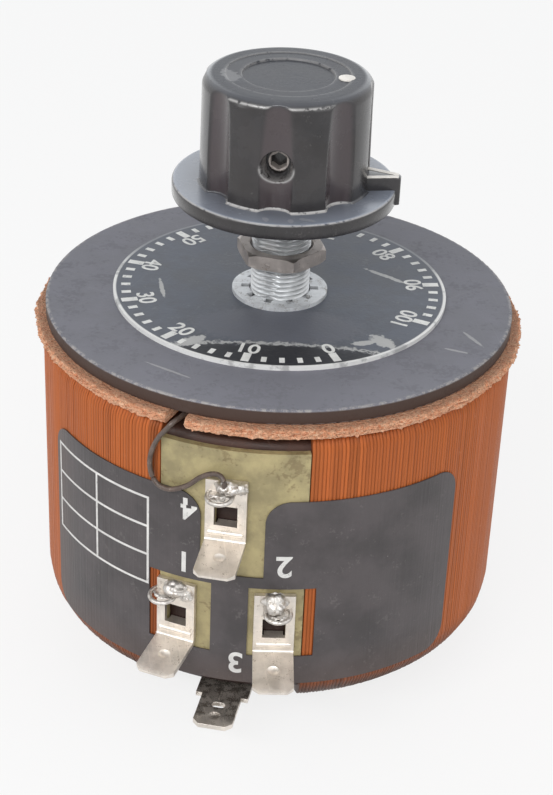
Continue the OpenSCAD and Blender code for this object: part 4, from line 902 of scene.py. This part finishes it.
class MouldKnob(bpy.types.Operator):
    """Mould the fluted knob with its skirt, pointer nib, pointer lines, index dot and set screw"""
    bl_idname = "autotransformer.mould_knob"
    bl_label = "Knob"

    def execute(self, context):
        looks = context.scene.knob_looks
        finish = knob_finish(looks)
        white = print_finish("White filling", (1.0, 0.96, 0.9), 0.72)
        self.mould_shell(looks, finish)
        self.mould_nib(finish, white)
        self.fill_dot(white)
        self.set_screw()
        return {"FINISHED"}

    def mould_shell(self, looks, finish):
        """The knob's outside, from the middle of its top to the skirt's rim, and its hollow underside."""
        foot, top, edge = KNOB_FOOT, KNOB_TOP, looks.edge_radius
        r_low, r_top = looks.body_radius, looks.top_radius
        near, far = np.linspace(-13.0, 13.0, 66), np.linspace(13.0, 347.0, 340)[1:-1]
        azimuth = np.concatenate([near, far]) + SCREW_AZIMUTH
        away = (azimuth - SCREW_AZIMUTH + 180.0) % 360.0 - 180.0

        # Top: a recess and a shallow step round it, each wall a smooth step in r
        face = np.concatenate([np.linspace(*span) for span in ((0, 6.6, 5), (6.9, 7.3, 9), (7.7, 9.2, 4),
                                                               (9.4, 9.8, 9), (10.2, 11.4, 4))])
        sunk = 0.3 * (1 - step(7.0, 7.2, face)) + 0.15 * (1 - step(9.5, 9.7, face))

        # Wall: the body's radius, or the distance to a flute's leaning cone, whichever is less. A cutter sunk by d
        # is w wide where its radius is (w^2 / 4 + d^2) / 2d, so the cone widens as the flute grows shallower
        bend = np.radians(np.linspace(86, 0, 20))
        above, below = SCREW_Z + 3.0 * MM, SCREW_Z - 3.0 * MM
        upright = np.concatenate([np.linspace(top - edge, above, 18)[1:-1], np.linspace(above, below, 60),
                                  np.linspace(below, SKIRT_TOP + 0.3 * MM, 16)[1:]])
        z = np.concatenate([top - edge + edge * np.sin(bend), upright])[:, None]
        body = np.concatenate([r_top - edge + edge * np.cos(bend),
                               np.interp(upright, [SKIRT_TOP, top - edge], [r_low, r_top])])[:, None]
        depths = np.array([looks.flute_foot, looks.flute_head])
        radii = (looks.flute_width ** 2 / 4 + depths ** 2) / (2 * depths)
        cone = np.interp(z, [SKIRT_TOP, top], radii)
        axis = np.interp(z, [SKIRT_TOP, top], np.array([r_low, r_top]) - depths) + cone
        pitch = 360.0 / looks.flutes
        turn = np.radians((azimuth - POINTER + pitch / 2) % pitch - pitch / 2)
        cutter = cone ** 2 - (axis * np.sin(turn)) ** 2
        flute = np.where(cutter > 0, axis * np.cos(turn) - np.sqrt(np.maximum(cutter, 0.0)), 1.0)
        wall = soft_least(body, flute, 0.12 * MM)

        # Set screw: a round recess and its hole, sunk along the radius
        offset = np.hypot(wall * np.radians(away), z - SCREW_Z) / MM
        wall = wall - np.maximum(wall - 10.0 * MM, 0) * (1 - step(2.36, 2.52, offset))
        wall = wall - 1.8 * MM * (1 - step(1.86, 1.96, offset))

        # Painted highlights, kept as wear: pale lines on the recess's lip, the top's edge, its steps, the fillet and
        # the rim
        front = 0.9 * step(52.0, 40.0, np.abs(away - 8.0))[None]
        lip_highlight = bell(offset, 2.62, 0.16) * step(0.6, -0.6, (z - SCREW_Z) / MM)
        lean = np.degrees(np.arcsin(np.clip((z - top + edge) / edge, 0.0, 1.0)))
        top_highlight = 0.8 * bell(lean, 30.0, 6.0) * step(44.0, 34.0, np.abs(away))
        top_highlight = top_highlight * step(0.2 * MM, 0.05 * MM, body - wall)
        # Painted sheen on the top's rounding, added to the wall's sheen
        rounding = 0.12 * bell(lean, 55.0, 18.0) * (lean > 0)
        steps = bell(face, 9.66, 0.14) + bell(face, 7.16, 0.14)

        # Skirt: a small fillet from the wall, the flat, and a round rim
        bend, fillet = np.radians(np.linspace(15, 90, 5))[:, None], 0.3 * MM
        beside, flat = wall[-1:] + 0.4 * MM, wall[-1:] + 0.5 * MM
        rest = np.linspace(r_low + 0.55 * MM, SKIRT_R - 0.6 * MM, 9)
        # Painted sheen on the skirt's flat, growing towards its rim
        upward_sheen = [np.interp(r, [r_low, SKIRT_R], [0.4, 0.78]) for r in (beside, flat, rest)]
        rim, rim_r = np.radians(np.linspace(90, -90, 13)), 0.5 * MM
        rim_z = np.where(rim >= 0, SKIRT_TOP - rim_r, foot + rim_r) + rim_r * np.sin(rim)
        rim_highlight = 0.95 * bell(np.degrees(rim), 52.0, 13.0)[:, None] * step(100.0, 50.0, np.abs(away))

        # Underside: the hollow between wall and boss, filled at four webs and round the set screw, and the bore
        under_r = np.array([10.7, 10.2, 10.2, 7.1, 6.8, 5.0, 5.0, 0.0]) * MM
        ceiling, bore_end = top - 3.9 * MM, foot + 15.3 * MM
        under_z = np.array([foot, foot + 0.5 * MM, ceiling, ceiling, foot, foot, bore_end, bore_end])[:, None]
        filled = (np.abs(away) < 17.5) | (np.abs((azimuth - POINTER) % 90.0 - 45.0) < 5.4)
        in_hollow = np.isin(np.arange(len(under_r)), (1, 2, 3))[:, None]
        under_z = np.where(filled & in_hollow, foot, under_z)

        # Each band of rows: radius, height, painted highlight (wear), painted sheen and how deep it lies in a flute
        wall_sheen = 0.12 * step(r_top - 0.2 * MM, r_top - edge, body) + rounding
        # How deep a point lies in a flute, where lighter colour is painted; the set screw's recess is left out
        flute_sheen = step(0.0, 0.5 * MM, body - wall) * step(2.5, 2.8, offset)
        r, z, wear, upward_sheen, hollow = bands(
            azimuth,
            (face * MM, top - sunk * MM, 0.4 * steps, 0.12, 0.0),
            (wall, z, np.clip(top_highlight + 0.75 * lip_highlight, 0, 1), wall_sheen, flute_sheen),
            (wall[-1:] + fillet * (1 - np.cos(bend)), SKIRT_TOP + fillet * (1 - np.sin(bend)), front, 0.1, 0.0),
            (beside, SKIRT_TOP, front, upward_sheen[0], 0.0),
            (flat, SKIRT_TOP, 0.0, upward_sheen[1], 0.0),
            (rest, SKIRT_TOP, 0.0, upward_sheen[2], 0.0),
            (SKIRT_R - rim_r + rim_r * np.cos(rim), rim_z, rim_highlight, 0.85 * step(0.6, 1.0, np.sin(rim)), 0.0),
            (under_r, under_z, 0.0, 0.0, 0.0))
        knob = surface("fluted_knob", ring_points(azimuth, r, z), crease=50.0,
                       values={"wear": wear, "upward_sheen": upward_sheen, "hollow": hollow})
        dress(knob, "rotor", finish, ("knob",))

    def mould_nib(self, finish, white):
        """The nib, with two raised lines on it that meet at its tip. Sizes are millimetres."""
        # Round-cornered sections narrow from the body to a blunt tip
        stations = np.array([11.5, 13.5, 15.5, 17.4, 18.05, 18.22])
        half = np.interp(stations, [11.5, 18.25], [2.6, 0.9]) * np.array([1, 1, 1, 1, 0.93, 0.72])
        rise = np.array([4.65, 4.65, 4.62, 4.58, 4.5, 4.3])
        blunt = np.minimum(0.3, half * 0.8)
        loops = np.stack([box_outline((-w, 0.02), (w, h), (0.05, 0.05, b, b), 4, 1)
                          for w, h, b in zip(half, rise, blunt)], axis=1) * MM
        grid = framed(POINTER, stations * MM, loops[..., 0], loops[..., 1] + KNOB_FOOT)
        nib = surface("pointer_nib", with_ends(grid), wrap_rows=True, wrap_columns=False, crease=50.0)
        dress(nib, "rotor", finish)

        strips, start, end = [], 12.9, 17.85
        for lean in (-1, 1):
            points, faces = bars(start, end, -0.45, 0.45, -0.02, 0.06, 9)
            out, across, up = points.T
            across = lean * np.interp(out, [start, end], [1.78, 0.36]) + across
            up = np.interp(out, stations, rise) + up
            strips.append((framed(POINTER, out * MM, across * MM, up * MM + KNOB_FOOT), faces))
        dress(joined("pointer_lines", strips), "rotor", white)

    def fill_dot(self, white):
        """The dot: a shallow dome, its height falling with the square of the distance from its middle."""
        share = np.array([0, 0.3, 0.6, 0.8, 0.92, 1.0, 1.0, 0.0])
        z = np.append(0.16 - 0.12 * share[:6] ** 2, [-0.4, -0.4]) * MM + KNOB_TOP
        dome = ring_points(np.linspace(0, 360, 36, endpoint=False), share[:, None] * 1.28 * MM, z[:, None])
        dome = dome + sum(corners("index_dot")) / 2 * [1, 1, 0]
        dress(surface("dot_filling", dome, crease=60.0), "rotor", white, ("index_dot",))

    def set_screw(self):
        """The screw: a bright cup end round a deep six-sided socket, along the radius of its flute."""
        heading, r = math.radians(SCREW_AZIMUTH), 1.8
        end = (-corners("knob_set_screw")[0][1] - r * MM * abs(math.sin(heading))) / math.cos(heading)
        spread = np.linspace(0, 360, 48, endpoint=False)
        socket = 1.22 / np.cos(np.radians((spread + 30.0) % 60.0 - 30.0))
        ends = np.array([-4.0, -4.0, -0.3, 0.0, -0.02, -1.9, -1.9])[:, None] * MM + end
        cups = np.stack(np.broadcast_arrays(0.0, r, r, 1.55, socket, socket, 0.0)) * MM
        turn = np.radians(spread)
        grid = framed(SCREW_AZIMUTH, ends, cups * np.cos(turn), cups * np.sin(turn) + SCREW_Z)
        dress(surface("cup_screw", grid, crease=30.0), "rotor",
              metal("Worn steel", (0.5, 0.45, 0.42), 0.5, (0.2, 0.15, 0.12), 0.6, 0.2), ("knob_set_screw",))


class CutThread(bpy.types.Operator):
    """Cut the thread of the panel bushing, and shape the nut that runs on it"""
    bl_idname = "autotransformer.cut_thread"
    bl_label = "Panel bushing and nut"

    def execute(self, context):
        looks = context.scene.knob_looks
        low, high, plate_foot = BUSHING_LOW[2], BUSHING_HIGH[2], PLATE_LOW[2]
        azimuth = np.linspace(0, 360, 96, endpoint=False)
        bore, depth = 3.215, looks.thread_depth
        z = np.linspace(PLATE_TOP + 0.5 * MM, high - 0.5 * MM, 150)[:, None]
        # The thread is a triangle wave of z / pitch less the turn, with its crest cut flat
        phase = (z / looks.thread_pitch - azimuth / 360.0) % 1.0
        wave = np.clip(1.25 * np.abs(2.0 * phase - 1.0) - 0.15, 0.0, 1.0)
        # A flat is milled along one side: the distance to its plane, where that is less than the thread's radius
        aside = np.radians((azimuth + 25.0 + 180.0) % 360.0 - 180.0)
        milled = np.where(np.abs(aside) < 0.7, 4.36 * MM / np.cos(aside), 1.0)
        thread = np.minimum(THREAD_R - depth * wave, milled)
        # Painted shade in the thread's roots, for the finish
        root = 0.5 * step(0.3 * depth, 0.9 * depth, THREAD_R - thread) * (wave > 0.3)
        foot_r = np.array([bore, 5.8, 6.0, 6.0, 7.5, 7.7, 7.7, 7.5, 4.6, 4.35]) * MM
        foot_z = np.array([low, low, low + 0.2 * MM, low + 13.0 * MM, low + 13.0 * MM, low + 13.2 * MM,
                           plate_foot - 0.2 * MM, plate_foot, plate_foot, PLATE_TOP + 0.4 * MM])
        head_r = np.array([4.3, 4.05, bore + 0.25, bore]) * MM
        head_z = np.array([high - 0.42 * MM, high, high, high - 0.25 * MM])
        r, z, groove = bands(azimuth, (foot_r, foot_z, 0.0), (thread, z, root), (head_r, head_z, 0.0))
        piece = surface("threaded_bushing", ring_points(azimuth, r, z), wrap_rows=True, crease=30.0,
                        values={"groove": groove})
        dress(piece, "stator", metal("Plated bushing", (0.8, 0.82, 0.84), 0.34, (0.3, 0.3, 0.3), 0.62, 0.5),
              ("panel_bushing",))
        self.shape_nut()
        return {"FINISHED"}

    def shape_nut(self):
        """The nut: a hexagon whose corners fall away under a cone of 30 degrees at both faces."""
        low, high = (corner[2] for corner in corners("panel_nut"))
        flat, corner_at, bore, ease = 6.35 * MM, 16.2, THREAD_R + 0.02 * MM, 0.35 * MM
        azimuth = corner_at + np.linspace(0, 360, 144, endpoint=False)
        hexagon = flat / np.cos(np.radians((azimuth - corner_at) % 60.0 - 30.0))[None]
        face = np.minimum(flat + 0.3 * MM, hexagon - 0.06 * MM)
        drop = (hexagon - face) * math.tan(math.radians(30.0))
        r, z = bands(azimuth, (bore, low + ease), (bore + ease, low), (face, low), (hexagon, low + drop),
                     (hexagon, high - drop), (face, high), (bore + ease, high), (bore, high - ease))
        nut = surface("hex_nut", ring_points(azimuth, r, z), wrap_rows=True, crease=22.0)
        dress(nut, "stator", metal("Dull nickel", (0.55, 0.5, 0.47), 0.4, (0.26, 0.21, 0.17), 0.6),
              ("panel_nut",))


class PrintDial(bpy.types.Operator):
    """Print the scale and its numbers on the dial"""
    bl_idname = "autotransformer.print_dial"
    bl_label = "Dial scale"

    def execute(self, context):
        looks = context.scene.dial_looks
        zero, unit = math.degrees(looks.zero_azimuth), math.degrees(looks.unit_turn)
        ticks, numbers, numeral_r = [], [], 22.0 * MM
        for value in range(0, 101, 2):
            tens = value % 10 == 0
            outer = looks.tick_outer if tens else looks.tick_outer - 0.4 * MM
            inner = outer - (looks.long_tick if tens else looks.short_tick)
            half = (0.62 if tens else 0.42) * MM
            points, faces = bars(inner, outer, -half, half, 0.0, INK)
            ticks.append((self.turned(points, zero - unit * value), faces))
            if tens:
                points, faces = numeral(str(value), looks.numeral_height, 0.018)
                points = points[:, [1, 0, 2]] * [-1, 1, 1] + [numeral_r, 0, INK / 2]
                numbers.append((self.turned(points, zero - unit * value), faces))
        piece = joined("dial_scale", ticks + numbers)
        dress(piece, "stator", print_finish("Dial ink", looks.print_colour, 0.6))
        return {"FINISHED"}

    def turned(self, points, azimuth):
        """Carry points with x along a dial radius to an azimuth on the dial's face."""
        out, across, up = points.T
        return framed(azimuth, out, across, up + DIAL_HIGH[2]) + [0, DIAL_Y, 0]


class StampTerminals(bpy.types.Operator):
    """Ease the edges of the stamped terminals"""
    bl_idname = "autotransformer.stamp_terminals"
    bl_label = "Terminals"

    def execute(self, context):
        looks = context.scene.terminal_looks
        for number in (1, 2, 3, 4):
            node = f"terminal_{number}"
            piece = eased_copy(node, f"tab_{number}", looks.edge_ease)
            dress(piece, "stator", tin_finish(looks), (node,))
        return {"FINISHED"}


class SolderTerminals(bpy.types.Operator):
    """Lay the solder lumps with their wire loops on terminals 1, 2 and 4"""
    bl_idname = "autotransformer.solder_terminals"
    bl_label = "Solder"

    def execute(self, context):
        # Millimetres from the middle of a leg's upper end: lumps as (across, up, width, height, rise),
        # and the level loop of wire as (across, up, radius)
        joints = {1: (((0.1, -1.0, 4.0, 2.6, 1.7), (1.8, -1.9, 2.4, 2.3, 1.0)), (-1.8, -2.3, 1.95)),
                  2: (((0.0, -1.1, 3.7, 3.6, 1.9), (-0.5, -2.0, 2.6, 2.0, 1.3)), (0.5, -2.7, 1.95)),
                  4: (((0.3, -0.7, 4.4, 2.7, 1.6), (2.2, -0.9, 2.0, 1.9, 1.0)), (-0.8, -2.2, 1.9))}
        polar = np.linspace(0, np.pi, 26)[:, None]
        turn = np.linspace(0, 2 * np.pi, 44, endpoint=False)
        # Unit sphere: how far a point lies out, across and up
        ahead, aside, over = np.cos(polar), np.sin(polar) * np.cos(turn), np.sin(polar) * np.sin(turn)
        lumps, loops = [], []
        for number, (heaps, (loop_across, loop_up, loop_r)) in joints.items():
            heaps = heaps + ((loop_across, loop_up, 1.9 * loop_r, 0.75, 0.62 * loop_r + 0.9),)
            for seed, (across, up, width, height, rise) in enumerate(heaps, start=30 + 5 * number):
                # A lump is an ellipsoid whose radius is stirred by noise; its back is pressed into the leg
                stir = (1 + 0.2 * grain(2.2 * ahead + 9, 1.6 * over + 9, seed)
                        + 0.14 * grain(5 * aside + 20, 5 * over + 20, seed + 90))
                lumps.append(self.placed(number, ahead * np.where(ahead > 0, rise, 0.5) * stir,
                                         across + 0.5 * width * aside * stir, up + 0.5 * height * over * stir))
            # A loop is a circle that starts and ends at the leg and tips down a little towards its front
            a = np.radians(np.linspace(-150, 150, 40))
            loops.append(self.placed(number, 0.9 + loop_r * np.cos(a), loop_across + loop_r * np.sin(a),
                                     loop_up - 0.25 * np.cos(a)))
        lump = surface("solder_lumps", np.stack(lumps), crease=80.0)
        dress(lump, "stator", solder_finish(), ("solder_joints",))
        dress(round_bar("soldered_wire_ends", loops, 0.36 * MM, 10), "stator", solder_finish())
        return {"FINISHED"}

    def placed(self, number, out, across, up):
        """Points from millimetres out of, across and up the face of a terminal's leg."""
        leg_face, leg_top = COIL_R + 0.75 * MM, corners(f"terminal_{number}")[1][2]
        return framed(azimuth_of(MOUNTS[f"tab_{number}"]), leg_face + out * MM, across * MM, leg_top + up * MM)


class RouteLead(bpy.types.Operator):
    """Route the lead from under the base plate to terminal 4"""
    bl_idname = "autotransformer.route_lead"
    bl_label = "Lead"

    def execute(self, context):
        looks = context.scene.terminal_looks
        # Azimuth, millimetres out of the coil, and millimetres below the plate's top
        route = np.array([[-20.6, -4.1, 3.3], [-21.2, -0.7, 3.2], [-22, 1.4, 3.4], [-23.4, 1.8, 4.7],
                          [-25.6, 1.1, 6.8], [-27.3, 0.8, 9.2], [-28, 0.8, 11.6], [-27.4, 0.8, 13.9],
                          [-25.5, 0.9, 15.2], [-22.6, 0.9, 15.3], [-18.8, 0.8, 14], [-15.9, 0.7, 12.2],
                          [-13.2, 0.8, 11.1], [-11, 1.3, 10.9], [-9.9, 1.9, 11.8], [-9.8, 1.9, 13.2]])
        spots = ring_points(route[:, 0], COIL_R + route[:, 1] * MM, PLATE_TOP - route[:, 2] * MM)
        path = curve_through(spots, 120)
        piece = round_bar("terminal_lead", [path], looks.lead_radius, 14)
        dress(piece, "stator", lead_finish(looks), ("lead_wire",))
        return {"FINISHED"}


class WindSpring(bpy.types.Operator):
    """Wind the spring under the carbon brush at one length, though it shortens as the brush slides into its holder
    """
    bl_idname = "autotransformer.wind_spring"
    bl_label = "Brush spring"

    def execute(self, context):
        low, high = corners("brush_spring")
        turns, wire_r = 4, 0.15 * MM
        middle, height = (low + high) / 2, high[2] - low[2]
        r = (high[0] - low[0]) / 2 - wire_r
        # A helix: the angle runs evenly over the turns, and the height runs with it
        share = np.linspace(0, 1, turns * 24 + 1)
        turn = 2 * np.pi * turns * share
        path = np.stack([middle[0] + r * np.cos(turn), middle[1] + r * np.sin(turn),
                         low[2] + wire_r + (height - 2 * wire_r) * share], -1)
        spring = round_bar("brush_helix", [path], wire_r, 8)
        dress(spring, "rotor", metal("Bright steel", (0.58, 0.58, 0.58), 0.28), ("brush_spring",))
        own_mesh(spring)
        return {"FINISHED"}


class PrintLabel(bpy.types.Operator):
    """Print the terminal numbers and an empty ruled frame on the label"""
    bl_idname = "autotransformer.print_label"
    bl_label = "Label print"

    def execute(self, context):
        # Millimetres along the arc and down from the plate's top; the numerals stand on their heads
        solids = []
        for text, arc, down, size in (("4", -12.5, 18.6, 3.9), ("1", -13.2, 28.3, 3.7), ("2", 2.5, 27.1, 3.9),
                                      ("3", -4.5, 45.7, 4.0)):
            points, faces = numeral(text, size * MM, 0.02)
            points = points * [-1, -1, 1] + [arc * MM, -down * MM, INK / 2]
            solids.append((self.wrapped(points), faces))
        left, right, high, low, half = -41.3, -19.5, -18.6, -34.3, 0.2
        level = [(left - half, right + half, z - half, z + half) for z in (high, -23.8, -29.0, low)]
        upright = [(x - half, x + half, low, high) for x in (left, -30.2, right)]
        for rule in level + upright:
            points, faces = bars(*(edge * MM for edge in rule), 0.0, INK, 24)
            solids.append((self.wrapped(points), faces))
        piece = joined("label_print", solids)
        dress(piece, "stator", print_finish("Label ink", (0.78, 0.77, 0.75), 0.6))
        return {"FINISHED"}

    def wrapped(self, points):
        """Bend a flat sheet with x along the arc, y up from the plate's top and z outwards round the label."""
        arc, up, out = points.T
        return ring_points(np.degrees(arc / (38.5 * MM)), COIL_R + 0.2 * MM + out, PLATE_TOP + up)


class FinishSolids(bpy.types.Operator):
    """Give every packed piece that stays in view its finish"""
    bl_idname = "autotransformer.finish_solids"
    bl_label = "Other pieces"

    def execute(self, context):
        coil, dial = context.scene.coil_looks, context.scene.dial_looks
        finishes = {
            "plate": plate_finish(dial), "dial": dial_finish(dial), "board": board_finish(coil),
            "label": label_finish(coil),
            # The core insulation is painted dark below 51 mm, as shade deep behind the terminals' windows
            "cap": moulding("Core insulation", (0.06, 0.028, 0.02), 0.4, (0.2, 0.13, 0.1), 51.0),
            "clamp": moulding("Brown moulding", (0.11, 0.06, 0.035), 0.4),
            "zinc": metal("Zinc plate", (0.74, 0.76, 0.78), 0.42, metallic=0.4),
            "steel": metal("Bright steel", (0.58, 0.58, 0.58), 0.28),
            "brass": metal("Brass", (0.62, 0.46, 0.2), 0.3),
            "core_steel": metal("Core steel", (0.32, 0.33, 0.35), 0.4),
            "bronze": metal("Bronze", (0.48, 0.3, 0.14), 0.4),
            "dark_steel": metal("Dark steel", (0.1, 0.1, 0.105), 0.35),
            "arm": metal("Plated arm", (0.5, 0.5, 0.49), 0.32),
            "carbon": moulding("Carbon", (0.03, 0.03, 0.032), 0.55, (0.14, 0.14, 0.14)),
        }
        for part in frame["record"]["subparts"]:
            if part["material_slot"] in finishes:
                mesh = frame["nodes"][part["node"]].data
                mesh.materials.clear()
                mesh.materials.append(finishes[part["material_slot"]])
        return {"FINISHED"}


class SetStage(bpy.types.Operator):
    """Set the floor, the light and the camera"""
    bl_idname = "autotransformer.set_stage"
    bl_label = "Stage"

    def execute(self, context):
        scene = context.scene
        looks = scene.stage_looks
        scene.view_settings.view_transform = "Standard"
        side = np.linspace(-1.5, 1.5, 13)
        floor = surface("floor", np.stack(np.broadcast_arrays(side, side[:, None], 0.0), -1), wrap_columns=False)
        scene.collection.objects.link(floor)
        floor.data.materials.append(floor_finish(looks.floor_colour))

        scene.world = bpy.data.worlds.new("Studio")
        scene.world.use_nodes = True
        paint = Paint(scene.world.node_tree)
        sky = paint.tree.nodes["Background"].inputs
        paint.plug(sky["Color"], (1.0, 1.0, 1.0))
        paint.plug(sky["Strength"], paint.ramp(paint.seen(), 0.0, 1.0, looks.sky_level, 1.0))

        # Two strips give the moulding its bright edges, and two broad lamps fill the sides and the rear
        white, bluish, target = (1.0, 1.0, 1.0), (0.84, 0.92, 1.0), Vector((0.0, 0.0, 0.05))
        for name, spot, width, height, power, tint in (
                ("key", (-0.2, -0.55, 0.5), 0.7, 0.1, 0.85, white),
                ("side strip", (-0.55, -0.3, 0.2), 0.1, 0.6, 0.12, white),
                ("fill", (0.6, -0.35, 0.45), 0.6, 0.6, 0.25, white),
                ("rear", (0.05, 0.75, 0.5), 0.9, 0.9, 0.35, bluish)):
            lamp = bpy.data.lights.new(name, "AREA")
            lamp.shape = "RECTANGLE"
            lamp.size, lamp.size_y = width, height
            lamp.energy = looks.key_power * power
            lamp.color = tint
            aim = (target - Vector(spot)).to_track_quat("-Z", "Y")
            self.stand(scene, name, lamp, spot, aim.to_matrix().to_4x4())

        lens = bpy.data.cameras.new("photograph")
        lens.sensor_fit = "VERTICAL"
        lens.sensor_height = 36.0
        lens.lens = looks.lens / MM
        lens.clip_start = 0.01
        # A camera looks down, so it is first raised by a quarter turn to look level
        aim = (Matrix.Rotation(looks.camera_yaw, 4, "Z") @ Matrix.Rotation(looks.camera_pitch, 4, "X")
               @ Matrix.Rotation(looks.camera_roll, 4, "Y") @ Matrix.Rotation(math.pi / 2, 4, "X"))
        scene.camera = self.stand(scene, "photograph", lens, looks.camera_spot, aim)
        return {"FINISHED"}

    def stand(self, scene, name, data, spot, aim):
        """Put a lamp or camera in the scene."""
        holder = bpy.data.objects.new(name, data)
        scene.collection.objects.link(holder)
        holder.matrix_world = Matrix.Translation(spot) @ aim
        return holder


LOOKS = {"coil_looks": CoilLooks, "dial_looks": DialLooks, "knob_looks": KnobLooks,
         "terminal_looks": TerminalLooks, "stage_looks": StageLooks}
OPERATORS = (SetStage, RouteLead, WindCoil, LayCork, MouldKnob, CutThread, PrintDial, StampTerminals,
             SolderTerminals, PrintLabel, WindSpring, FinishSolids)


class LooksPanel(bpy.types.Panel):
    """Lists the settings and the pieces"""
    bl_idname = "VIEW3D_PT_autotransformer"
    bl_label = "Autotransformer"
    bl_space_type = "VIEW_3D"
    bl_region_type = "UI"
    bl_category = "Autotransformer"

    def draw(self, context):
        for name, looks in LOOKS.items():
            box = self.layout.box()
            box.label(text=looks.__doc__)
            for label in looks.__annotations__:
                box.prop(getattr(context.scene, name), label)
        for operator in OPERATORS:
            self.layout.operator(operator.bl_idname)


def register():
    for looks in LOOKS.values():
        bpy.utils.register_class(looks)
    for name, looks in LOOKS.items():
        setattr(bpy.types.Scene, name, PointerProperty(type=looks))
    for operator in OPERATORS:
        bpy.utils.register_class(operator)
    bpy.utils.register_class(LooksPanel)


def unregister():
    bpy.utils.unregister_class(LooksPanel)
    for operator in reversed(OPERATORS):
        bpy.utils.unregister_class(operator)
    for name, looks in reversed(LOOKS.items()):
        delattr(bpy.types.Scene, name)
        bpy.utils.unregister_class(looks)


def main():
    register()
    for operator in OPERATORS:
        section, name = operator.bl_idname.split(".")
        getattr(getattr(bpy.ops, section), name)()


if __name__ == "__main__":
    main()
